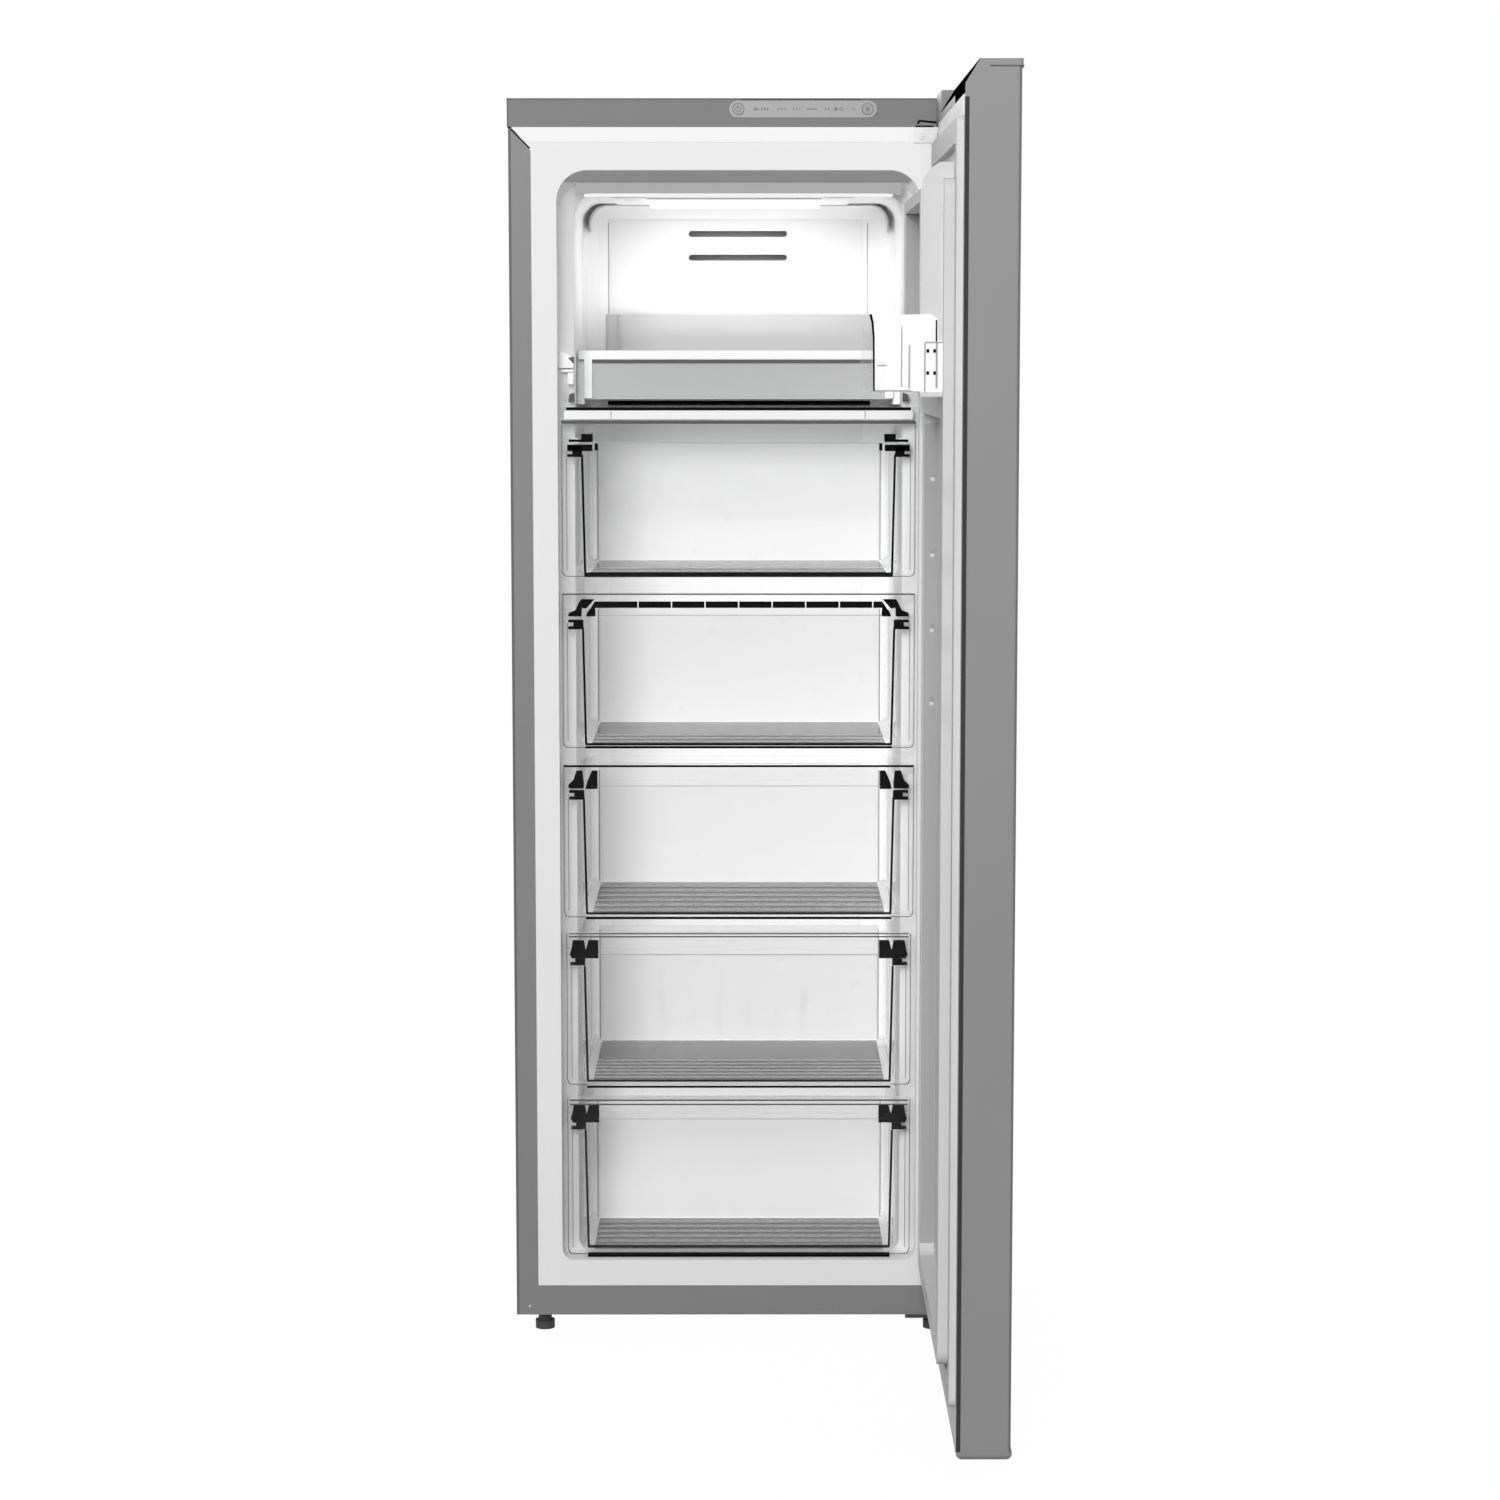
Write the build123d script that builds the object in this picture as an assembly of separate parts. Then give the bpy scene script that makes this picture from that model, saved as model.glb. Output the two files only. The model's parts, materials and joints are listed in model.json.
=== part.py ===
from build123d import *
import math
import os

# Upright freezer, free-standing, with one right-hinged door, a tray and five drawers.
# Millimetres, +Z up, the front faces -Y. The pieces are placed in the cabinet's own
# frame: X = 0 is the cabinet's middle, Y = 0 its front plane, Z = 0 the floor.
# At the end all of them move together, so that the origin is the middle of the
# underside of the box round the freezer with its door at a right angle.

# ---------------------------------------------------------------- cabinet
cabinet_width = 595.0
cabinet_depth = 520.0
body_height = 1608.6
foot_height = 28.0
sheet = 1.0                      # steel sheet of the casing
touch = 0.3                      # gap between neighbouring pieces of different bodies
running_gap = 0.05               # radial gap of a pin in its bush
fit_gap = 0.1                    # radial gap round a bolt or a screw
past = 1.0                       # how far a cut runs out past a face
round_margin = 0.1               # keeps a full round's corners from meeting

body_bottom = foot_height
body_top = body_bottom + body_height
half_width = cabinet_width / 2
inner_half = half_width - sheet

side_flange = 29.0               # front flange of each side panel
mitre_outer = 5.5                # the flange's top end is cut across, from this far in
mitre_outer_drop = 0.8           # and this far below the top trim
mitre_inner_drop = 30.4
drain_hole_radius = 2.3
drain_hole_inset = 17.0
drain_hole_height = 11.8

trim_height = 36.8               # top trim that carries the controls
trim_depth = 70.0
trim_wall = 2.5
trim_overhang = 1.5
trim_bottom = body_top - trim_height

rail_height = 40.2               # front bottom rail
rail_depth = 30.0
rail_top = body_bottom + rail_height

# ---------------------------------------------------------------- liner and insulation
machine_depth = 255.0            # the machine compartment, at the cabinet's foot and rear
machine_height = 245.0
machine_front = cabinet_depth - machine_depth
machine_top = body_bottom + machine_height
step_foam = 50.0                 # the floor's step stands this far off the compartment
liner_wall = 2.0
mouth_side = 61.5                # from the cabinet's side to the opening
mouth_drop = 54.8                # from the top trim down to the opening
mouth_rise = 34.8                # from the bottom rail up to it
mouth_half = half_width - mouth_side
mouth_top = trim_bottom - mouth_drop
mouth_bottom = rail_top + mouth_rise
mouth_radius = 40.0
mouth_low_radius = 16.0
mouth_slope = 16.0               # the head of the opening comes down by this much
mouth_depth = 30.0
funnel_depth = 18.0              # then the sides step in to the chamber
funnel_side = 20.0
chamber_drop = 30.0              # the ceiling lies below the opening's head
sill = 2.0                       # and the floor above its lower edge
chamber_radius = 26.0
rear_wall = 115.0                # behind the chamber, with the duct's recess
chamber_half = mouth_half - funnel_side
chamber_top = mouth_top - chamber_drop
chamber_bottom = mouth_bottom + sill
chamber_back = cabinet_depth - rear_wall
step_front = machine_front - step_foam
step_top = machine_top + step_foam
ledge_height = 6.0
ledge_play = 1.5                 # between a ledge and the tub beside it
tray_ledge_play = 3.0
tray_ledge_setback = 6.0
shelf_ledge = 9.0                # how far the shelf's ledges stand out

# ---------------------------------------------------------------- machine compartment
cover_recess = 14.0
plate_sheet = 2.0
vent_slots = 9
vent_length = 150.0
vent_width = 6.0
vent_pitch = 16.0
gland_height = 60.0
gland_radius = 9.0
gland_bore = 5.0
gland_length = 20.0
gland_flange = 4.0

# ---------------------------------------------------------------- controls and lamp
panel_left = -12.0
panel_right = 179.0
panel_height = 21.8
panel_rise = 12.1                # above the trim's lower edge
panel_bottom = trim_bottom + panel_rise
panel_thickness = 2.0
panel_proud = 0.5
button_radius = 7.5
button_inset = 12.0
button_gap = 0.3
button_length = 6.0
button_travel = 1.0
board_thickness = 1.6
board_overhang = 20.0            # beyond the control strip's ends
chip_left = 50.0                 # the chip's left end, from the strip's left end
chip_length = 30.0
chip_depth = 5.0
chip_margin = 6.0
lamp_left = -121.0
lamp_right = 110.0
lamp_front = 60.0
lamp_back_gap = 75.0             # to the chamber's back
lamp_back = chamber_back - lamp_back_gap
lamp_drop = 6.0
lamp_wall = 1.5
lamp_board_half = 90.0
lamp_board_front = 20.0          # behind the cover's front edge
lamp_board_depth = 25.0
lamps = 6
lamp_pitch = 30.0
lamp_width = 6.0
lamp_depth = 5.0
lamp_height = 1.0

# ---------------------------------------------------------------- air duct and cold circuit
duct_depth = 53.0
duct_left_gap = 27.0             # between the chamber's side and the duct cover
duct_right_gap = 43.0
duct_top_gap = 3.0
duct_wall = 2.0
duct_left = -chamber_half + duct_left_gap
duct_right = chamber_half - duct_right_gap
duct_front = chamber_back - duct_depth
duct_top = chamber_top - duct_top_gap
slot_left = -70.0
slot_right = 67.0
slot_height = 8.5
slot_drops = (37.3, 70.0)        # below the duct cover's top
return_slots = 6
return_slot_pitch = 40.0
return_slot_width = 10.0
return_slot_low = 20.0
return_slot_height = 60.0
fan_drop = 154.0
fan_height = duct_top - fan_drop
fan_radius = 50.0
fan_blades = 5
fan_hub_radius = 13.0
fan_shaft_radius = 2.5
fan_thickness = 14.0
fan_tip_gap = 4.0
fan_setback = 8.0                # behind the duct cover's wall
fan_arm_gap = 3.0
fan_arm = 2.0
fan_arm_width = 8.0
fan_arms = 3
fan_shaft_play = 1.0             # round the shaft in the bracket
fan_shaft_setback = 1.0          # behind the hub's front
blade_width = 30.0
blade_thickness = 1.6
blade_angle = 28.0
blade_sink = 2.0                 # into the hub
blade_tip = 2.0                  # short of the fan's radius
ring_wall = 5.0
motor_radius = 19.0
motor_length = 18.0
evaporator_half = 142.0
evaporator_end_plate = 1.5
evaporator_rise = 175.0          # above the step
evaporator_bottom = step_top + evaporator_rise
evaporator_height = 330.0
evaporator_rows = 6
evaporator_fins = 14
cold_tube_radius = 4.0
fin_thickness = 0.8
fin_depth = 30.0
fin_margin = 8.0
evaporator_leg = 40.0
heater_drop = 20.0
heater_depth = 24.0
heater_bend = 8.0
bend_share = 0.4                 # a bend's radius, as a share of the runs' pitch
drain_radius = 8.0
drain_wall = 1.5
drain_offset = 40.0              # from the compressor's middle
drain_drop = 24.0                # into the machine compartment
condenser_runs = 6
condenser_pitch = 64.0
condenser_radius = 2.5
condenser_pocket = 6.0
condenser_margin = 12.0
condenser_front = 80.0
condenser_low = 80.0             # above the machine compartment
condenser_high = 90.0            # below the top trim

# ---------------------------------------------------------------- compressor
compressor_x = -60.0
compressor_back = 128.0          # its middle from the rear
compressor_y = cabinet_depth - compressor_back
compressor_radius = 72.0
compressor_height = 150.0
grommet_radius = 10.0
grommet_height = 14.0
bolt_radius = 3.0
bolt_head_radius = 6.0
bolt_head = 3.0
bolt_end = 1.0                   # beyond the nut
nut_radius = 5.5
nut_height = 5.0
bolt_inset = 10.0                # from the edges of the compressor's base
compressor_foot_half = 80.0
compressor_foot_depth = 70.0
compressor_round = 26.0
foot_plate = 3.0
relay_sink = 12.0
relay_reach = 26.0
relay_half = 24.0
relay_low = 40.0
relay_height = 65.0
drip_length = 170.0
drip_width = 120.0
drip_height = 24.0
drip_wall = 2.0
drip_shift = 8.0                 # forward of the compressor's middle
line_radius = 3.0
line_bend = 10.0
line_forward = 24.0
line_dip = 22.0
line_rise = 30.0
line_side = 40.0
suction_radius = 4.2
suction_bend = 14.0
suction_forward = 30.0
suction_side = 120.0
port_height = 60.0
port_offset = 20.0
drier_radius = 9.0
drier_length = 90.0
drier_x = 150.0
drier_low = 70.0
drier_round = 5.0

# ---------------------------------------------------------------- feet and rollers
foot_inset = 35.5                # foot's middle from the cabinet's side
foot_back = 40.0                 # foot's middle from the front plane
foot_pad_radius = 13.0
foot_pad_height = 11.0
foot_neck_radius = 9.0
foot_stud_radius = 4.0
foot_stud_length = 24.0
foot_gap = 0.4
foot_room = 4.0                  # over the stud, in the foam
roller_radius = 13.0
roller_width = 14.0
roller_inset = 60.0
roller_back = 55.0               # roller's middle from the rear
axle_radius = 3.0
ear_gap = 1.0                    # between a roller and the ears beside it
ear_half = 12.0
ear_bottom = 6.0

# ---------------------------------------------------------------- shelf and tray
drawers_drop = 322.5             # from the opening's head to the drawers
front_play = 3.0                 # between the opening's sides and a drawer's front
drawer_top = mouth_top - drawers_drop
drawer_half = mouth_half - front_play
shelf_rise = 16.5                # above the drawers
shelf_top = drawer_top + shelf_rise
shelf_glass = 4.0
shelf_lip = 13.0                 # the front edge's height
shelf_lip_wall = 3.0
shelf_play = 1.0
shelf_back_gap = 8.0             # to the duct cover
shelf_back = duct_front - shelf_back_gap
tray_rise = 9.6                  # above the shelf
tray_height = 64.8
tray_lip = 12.5
tray_front = 105.0
tray_back_gap = 16.0             # to the duct cover
tray_play = 2.5                  # between the chamber's side and the tray's rim
tray_rim_width = 9.5
tray_wall = 2.5
tray_riser = 50.0                # the tray's back wall stands above its rim
tray_riser_inset = 18.0
tray_bottom = shelf_top + tray_rise
tray_rim = tray_bottom + tray_height
tray_back = duct_front - tray_back_gap
tray_rim_half = chamber_half - tray_play
tray_half = tray_rim_half - tray_rim_width
tray_riser_half = tray_half - tray_riser_inset
tray_lip_gap = 2.0               # between the front lip and the tray's wall

# ---------------------------------------------------------------- drawers
drawer_count = 5
drawer_gap = 21.1                # between one drawer's front and the next
lowest_gap = 17.4                # over the lowest drawer
lowest_front = 214.0             # its front's height
lowest_play = 2.0                # over the floor
drawer_front_y = 14.5
drawer_wall = 2.5
drawer_return = 9.0
drawer_corner = 9.0
tub_play = 6.0                   # between the chamber's side and a tub
tub_draft = 5.0                  # a tub is narrower at its back by this, on each side
tub_back_gap = 52.0              # between a tub and the duct cover
tub_step_gap = 15.0              # between the lowest tub and the floor's step
tub_drop = 22.0                  # the tub's rim is this far below the front's top
tub_flange_play = 1.5
tub_flange = 2.5
tub_radius = 12.0
block_inset = 4.0                # slide blocks behind the front's upper corners
block_height = 26.0
block_depth = 8.0
block_root = 1.5                 # how far a block reaches into the tub's wall
tub_flange_setback = 2.0

# ---------------------------------------------------------------- door
hinge_inset = 20.0               # hinge axis from the cabinet's side
hinge_out = 30.0                 # hinge axis in front of the front plane
door_gap = 8.0                   # between the closed door and the front plane
door_thickness = 63.6
door_sink = 7.4                  # the door reaches below the cabinet's underside
door_rise = 1.7                  # and above the trim's top
door_corner = 4.0
door_hinge_chamfer = 6.0
cap_bulge = 2.0
top_cap = 8.0
top_cap_inner = 43.8             # the cap's depth on the inner side
top_cap_flat = 35.0              # from the outer face to where the parting line turns
top_cap_slope = 20.4
cap_chamfer_width = 16.9
cap_chamfer_height = 27.4
cap_chamfer_stop = 110.0         # from the hinge end
bottom_cap = 10.0
bottom_cap_bevel = 6.0
bottom_cap_round = 8.0
dike_play = 4.0                  # the door lining's low rim, inside the opening
dike_height = 19.0
dike_width = 26.0
dike_gap = 10.6
dike_half = mouth_half - dike_play
dike_bottom = mouth_bottom + dike_gap
dike_radius = 18.0
cheek_radius = 5.0
tall_play = 4.0                  # its tall upper part beside the bin, inside the chamber
tall_height = 45.0
tall_drop = 35.0                 # below the opening's head
tall_rise = 37.5                 # above the drawers
tall_half = chamber_half - tall_play
tall_bottom = drawer_top + tall_rise
tall_top = mouth_top - tall_drop
cheek_slope = 12.0               # the cheeks' upper ends slope over this height
door_lining_inset = 11.5         # from the door's sides
door_lining_wall = 2.0
gasket_inset = 23.5
gasket_width = 28.0
gasket_rise = 7.8                # above the bottom rail
gasket_drop = 23.8               # below the top trim
door_lining_half = half_width - door_lining_inset
gasket_outer = half_width - gasket_inset
gasket_bottom = rail_top + gasket_rise
gasket_top = trim_bottom - gasket_drop
gasket_radius = 12.0
gasket_inner_radius = 6.0
pin_radius = 4.0
pin_length = 22.0
bush_radius = 7.0
bush_length = 24.0
hinge_plate = 4.0
hinge_length = 51.5              # from each hinge bracket's left end to the pin
hinge_arm_half = 14.0
hinge_drop_half = 10.0
hinge_sheet = 3.0
strap_depth = 62.0
top_arm_drop = 1.0               # below the trim
bottom_arm_gap = 2.5             # below the door
hinge_screw_radius = 2.5
hinge_screw_head = 4.5
screw_head = 2.5
top_screws = (10.0, 28.0)        # from the bracket's left end
top_screw_drop = 10.0
bottom_screws = (8.0, 22.0)
bottom_screw_setback = 10.0      # from the strap's rear edge
strap_left = 3.0                 # the strap begins this far left of the bracket
strap_right = 2.0                # and ends this far inside the cabinet's side
foot_hole_play = 1.0
hinge_flange = 19.0
pocket_half = 17.0
pocket_back = 26.0
pocket_play = 4.0
bin_tip = 92.5                   # the bin's front, behind the front plane, door closed
bin_inset = 8.0                  # its front is narrower than the cheeks by this, on each side
bin_corner = 10.0
bin_side_gap = 4.0               # its root fits between the cheeks
bin_rise = 5.0                   # above the cheeks' lower ends
bin_half = tall_half - bin_inset
bin_root_half = tall_half - dike_width - bin_side_gap
bin_bottom = tall_bottom + bin_rise
bin_height = 90.0
bin_wall = 2.5
bin_back_gap = 1.3               # to the lining behind it
bin_cheek_gap = 1.5              # to the cheeks
bin_boss_radius = 5.0
bin_boss_height = 40.0
bin_boss_play = 0.4
bin_boss_length = 5.0
bin_slot_half = 6.0

# ---------------------------------------------------------------- worked out
stack_height = drawer_top - chamber_bottom - lowest_play - lowest_front - lowest_gap
front_height = (stack_height - (drawer_count - 2) * drawer_gap) / (drawer_count - 1)
tub_back = duct_front - tub_back_gap
lowest_tub_back = step_front - tub_step_gap
tub_half_front = chamber_half - tub_play
tub_half_back = tub_half_front - tub_draft
tub_flange_half = chamber_half - tub_flange_play
block_out = drawer_half - block_inset
hinge_x = half_width - hinge_inset
hinge_left = hinge_x - hinge_length
hinge_y = -hinge_out
door_in = -door_gap
door_out = door_in - door_thickness
door_bottom = body_bottom - door_sink
door_top = body_top + door_rise
skin_bottom = door_bottom + bottom_cap
skin_top = door_top - top_cap
funnel_end = mouth_depth + funnel_depth
tray_floor = tray_bottom + tray_wall
door_open_right = hinge_x + (hinge_y - door_out) + cap_bulge
door_open_front = hinge_y - (hinge_x + half_width)
box_left = -half_width - trim_overhang
origin = Location((
    -(box_left + door_open_right) / 2,
    -(door_open_front + cabinet_depth) / 2,
    0,
))
swing = Location((hinge_x, hinge_y, 0)) * Rot(0, 0, 90) * Location((-hinge_x, -hinge_y, 0))


# ---------------------------------------------------------------- helpers
def box(x0, x1, y0, y1, z0, z1):
    return Pos((x0 + x1) / 2, (y0 + y1) / 2, (z0 + z1) / 2) * Box(x1 - x0, y1 - y0, z1 - z0)


def rod(x, y, z, radius, length, along="z"):
    """A cylinder whose base is centred at x, y, z and that runs along a positive axis."""
    turn = {"x": Rot(0, 90, 0), "y": Rot(-90, 0, 0), "z": Rot(0, 0, 0)}[along]
    align = (Align.CENTER, Align.CENTER, Align.MIN)
    return Pos(x, y, z) * turn * Cylinder(radius, length, align=align)


def frame_at(y, x0, x1, z0, z1, radius, low_radius=None):
    """A rounded rectangle standing in the plane at y."""
    shape = Rectangle(x1 - x0, z1 - z0)
    low, high = shape.vertices().group_by(Axis.Y)
    shape = fillet(high, radius)
    low = shape.vertices().group_by(Axis.Y)[0]
    shape = fillet(low, radius if low_radius is None else low_radius)
    return Pos(0, y, 0) * (Plane.XZ * (Pos((x0 + x1) / 2, (z0 + z1) / 2) * shape))


def slab(y0, y1, x0, x1, z0, z1, radius, low_radius=None):
    """A rounded rectangle in the XZ plane, from y0 to y1."""
    return extrude(frame_at(y1, x0, x1, z0, z1, radius, low_radius), amount=y1 - y0)


def profile_x(points, x0, x1):
    """A closed outline of (y, z) points, drawn out from x0 to x1."""
    face = Plane.YZ * make_face(Polyline(*points, close=True))
    return Pos(x0, 0, 0) * extrude(face, amount=x1 - x0)


def profile_z(points, z0, z1):
    """A closed outline of (x, y) points, drawn up from z0 to z1."""
    return Pos(0, 0, z0) * extrude(make_face(Polyline(*points, close=True)), amount=z1 - z0)


def tube_along(points, radius, bend):
    path = FilletPolyline(*points, radius=bend)
    start = Plane(origin=path @ 0, z_dir=path % 0)
    return sweep(start * Circle(radius), path=path)


def save(name, shape):
    export_step(origin * shape, f"parts/{name}.step")


def save_door(name, shape):
    """Door pieces are modelled with the door shut, and kept with it swung open."""
    save(name, swing * shape)


# ---------------------------------------------------------------- liner
def chamber(grow):
    """The cold space, drawn out by grow on every side but the front."""
    def mouth_at(y, top):
        x = mouth_half + grow
        return frame_at(y, -x, x, mouth_bottom - grow, top + grow,
                        mouth_radius + grow, mouth_low_radius + grow).face()
    x = chamber_half + grow
    low, high = chamber_bottom - grow, chamber_top + grow
    radii = (chamber_radius + grow, mouth_low_radius + grow)
    inner_face = frame_at(funnel_end, -x, x, low, high, *radii).face()
    brow = mouth_at(mouth_depth, mouth_top - mouth_slope)
    mouth = loft([mouth_at(0, mouth_top), brow], ruled=True)
    funnel = loft([brow, inner_face], ruled=True)
    room = slab(funnel_end, chamber_back + grow, -x, x, low, high, *radii)
    step = box(-cabinet_width, cabinet_width, step_front + grow, cabinet_depth,
               0, step_top - grow)
    return mouth + funnel + room - step


def flange_outline():
    """The white front frame, between the side flanges, the trim and the bottom rail."""
    x = half_width - side_flange
    plate = box(-x, x, 0, liner_wall, rail_top, trim_bottom)
    for side in (-1, 1):
        corner = [
            (side * x, trim_bottom), (side * x, trim_bottom - mitre_inner_drop),
            (side * (half_width - mitre_outer), trim_bottom - mitre_outer_drop),
            (side * (half_width - mitre_outer), trim_bottom),
        ]
        face = Plane.XZ * make_face(Polyline(*corner, close=True))
        plate += extrude(face, amount=-liner_wall)
    return plate


def drawer_levels():
    """Each drawer's front from bottom to top, the uppermost first."""
    levels = []
    for index in range(drawer_count - 1):
        top = drawer_top - index * (front_height + drawer_gap)
        levels.append((top - front_height, top))
    lowest = chamber_bottom + lowest_play
    levels.append((lowest, lowest + lowest_front))
    return levels


def tub_depth(index):
    return lowest_tub_back if index == drawer_count - 1 else tub_back


def liner_ledges():
    """Rails under each tub's flange and under the tray's rim, and the shelf's ledges."""
    ledges = []
    for side in (-1, 1):
        def ledge(reach, y0, y1, top):
            xs = sorted((side * reach, side * (chamber_half + liner_wall / 2)))
            return box(xs[0], xs[1], y0, y1, top - ledge_height, top)
        for index, (bottom, top) in enumerate(drawer_levels()):
            rail_z = top - tub_drop - tub_flange - touch
            ledges.append(ledge(tub_half_front + ledge_play, funnel_end, tub_depth(index), rail_z))
        ledges.append(ledge(tray_half + tray_ledge_play, tray_front + tray_ledge_setback,
                            tray_back, tray_rim - tray_wall - touch))
        ledges.append(ledge(chamber_half - shelf_ledge, funnel_end, shelf_back,
                            shelf_top - shelf_glass))
    return ledges


def make_liner():
    shell = chamber(liner_wall) + flange_outline() - chamber(0)
    for piece in liner_ledges():
        shell += piece
    drain = rod(drain_x(), drain_y(), step_top - 2 * liner_wall, drain_radius, 4 * liner_wall)
    return shell - drain


def drain_x():
    return compressor_x + drain_offset


def drain_y():
    return (duct_front + chamber_back) / 2


# ---------------------------------------------------------------- casing
def make_side_panel(side):
    outer, inner = side * half_width, side * inner_half
    x0, x1 = sorted((outer, inner))
    panel = box(x0, x1, 0, cabinet_depth, body_bottom, trim_bottom)
    back_part = box(x0, x1, trim_depth, cabinet_depth, trim_bottom, body_top - sheet)
    strip = side * (half_width - side_flange)
    points = [
        (outer, body_bottom), (strip, body_bottom),
        (strip, trim_bottom - mitre_inner_drop),
        (side * (half_width - mitre_outer), trim_bottom - mitre_outer_drop),
        (side * (half_width - mitre_outer), trim_bottom), (outer, trim_bottom),
    ]
    flange = extrude(Plane.XZ * make_face(Polyline(*points, close=True)), amount=-sheet)
    hole = rod(side * (half_width - drain_hole_inset), -sheet, body_bottom + drain_hole_height,
               drain_hole_radius, 3 * sheet, "y")
    return panel + back_part + flange - hole


def make_top_panel():
    plate = box(-half_width, half_width, trim_depth, cabinet_depth, body_top - sheet, body_top)
    front = box(-inner_half, inner_half, trim_depth, trim_depth + sheet,
                trim_bottom, body_top - sheet)
    return plate + front


def make_top_trim():
    x = half_width + trim_overhang
    body = box(-x, x, 0, trim_depth, trim_bottom, body_top)
    body -= box(-x + trim_wall, x - trim_wall, trim_wall, trim_depth,
                trim_bottom + trim_wall, body_top - trim_wall)
    z = panel_bottom + panel_height / 2
    seat = slab(-past, panel_thickness - panel_proud, panel_left - touch, panel_right + touch,
                panel_bottom - touch, panel_bottom + panel_height + touch,
                panel_height / 2)
    body -= seat
    for x in button_places():
        body -= rod(x, -past, z, button_radius + button_gap, trim_wall + 2 * past, "y")
    return body


def button_places():
    return (panel_left + button_inset, panel_right - button_inset)


def make_control_panel():
    z = panel_bottom + panel_height / 2
    lens = slab(-panel_proud, panel_thickness - panel_proud, panel_left, panel_right,
                panel_bottom, panel_bottom + panel_height, panel_height / 2 - round_margin)
    for x in button_places():
        lens -= rod(x, -panel_proud - past, z, button_radius + button_gap,
                    panel_thickness + 2 * past, "y")
    return lens


def make_button(x):
    z = panel_bottom + panel_height / 2
    front = -panel_proud - button_travel
    return rod(x, front, z, button_radius, button_length, "y")


def board_y():
    """The control board's front, which leaves the buttons their travel."""
    return -panel_proud + button_length + touch


def make_control_board():
    z0, z1 = trim_bottom + trim_wall, body_top - trim_wall
    back = board_y() + board_thickness
    board = box(panel_left - board_overhang, panel_right + board_overhang, board_y(), back, z0, z1)
    chip = box(panel_left + chip_left, panel_left + chip_left + chip_length, back,
               back + chip_depth, z0 + chip_margin, z1 - chip_margin)
    return board + chip


def make_rear_panel():
    return box(-inner_half, inner_half, cabinet_depth - sheet, cabinet_depth,
               machine_top, body_top - sheet)


def make_bottom_pan():
    low, high = body_bottom + sheet, machine_top
    t = sheet
    points = [
        (t, low), (machine_front, low), (machine_front, high - t),
        (cabinet_depth - t, high - t), (cabinet_depth - t, high),
        (machine_front - t, high), (machine_front - t, low + t), (t, low + t),
    ]
    pan = profile_x(points, -inner_half, inner_half)
    for side in (-1, 1):
        pan -= rod(foot_x(side), foot_back, low - past, foot_stud_radius + foot_gap, t + 2 * past)
    hole = drain_radius + drain_wall
    return pan - rod(drain_x(), drain_y(), high - 3 * t, hole, 5 * t)


def make_bottom_rail():
    x = half_width - side_flange
    face = box(-x, x, 0, sheet, body_bottom, rail_top)
    foot = box(-x, x, 0, rail_depth, body_bottom, body_bottom + sheet)
    return face + foot


def make_foam():
    block = box(-inner_half, inner_half, liner_wall, cabinet_depth - sheet,
                body_bottom + 2 * sheet, trim_bottom)
    block += box(-inner_half, inner_half, trim_depth + sheet, cabinet_depth - sheet,
                 trim_bottom, body_top - sheet)
    block -= box(-half_width, half_width, machine_front - sheet, cabinet_depth,
                 0, machine_top)
    block -= chamber(liner_wall)
    for side in (-1, 1):
        inner = side * (inner_half - condenser_pocket)
        x0, x1 = sorted((inner, side * half_width))
        y0, z0, z1 = condenser_place()
        width = (condenser_runs - 1) * condenser_pitch
        m = condenser_margin
        block -= box(x0, x1, y0 - m, y0 + width + m, z0 - m, z1 + m)
        block -= rod(foot_x(side), foot_back, body_bottom, foot_stud_radius + foot_gap,
                     foot_stud_length + foot_room)
    hole = drain_radius + drain_wall
    return block - rod(drain_x(), drain_y(), machine_top - past, hole, step_top - machine_top)


def foot_x(side):
    return side * (half_width - foot_inset)


def condenser_place():
    """Where the condenser's first run stands, and its lower and upper end."""
    return condenser_front, machine_top + condenser_low, trim_bottom - condenser_high


def make_condenser():
    y0, z0, z1 = condenser_place()
    loops = []
    for side in (-1, 1):
        x = side * (inner_half - condenser_radius)
        points = []
        for run in range(condenser_runs):
            y = y0 + run * condenser_pitch
            ends = (z0, z1) if run % 2 == 0 else (z1, z0)
            points += [(x, y, ends[0]), (x, y, ends[1])]
        loops.append(tube_along(points, condenser_radius, condenser_pitch * bend_share))
    return Compound(children=loops)


# ---------------------------------------------------------------- cold side
def make_duct_cover():
    bottom = step_top
    cover = box(duct_left, duct_right, duct_front, chamber_back, bottom, duct_top)
    cover -= box(duct_left + duct_wall, duct_right - duct_wall, duct_front + duct_wall,
                 chamber_back + past, bottom - past, duct_top - duct_wall)
    for drop in slot_drops:
        z = duct_top - drop
        cover -= slab(duct_front - past, duct_front + duct_wall + past, slot_left, slot_right,
                      z - slot_height / 2, z + slot_height / 2, slot_height / 2 - round_margin)
    middle = (duct_left + duct_right) / 2
    for index in range(return_slots):
        x = middle + (index - (return_slots - 1) / 2) * return_slot_pitch
        half = return_slot_width / 2
        low = bottom + return_slot_low
        cover -= box(x - half, x + half, duct_front - past, duct_front + duct_wall + past,
                     low, low + return_slot_height)
    return cover


def evaporator_y():
    return (duct_front + duct_wall + chamber_back) / 2


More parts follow.
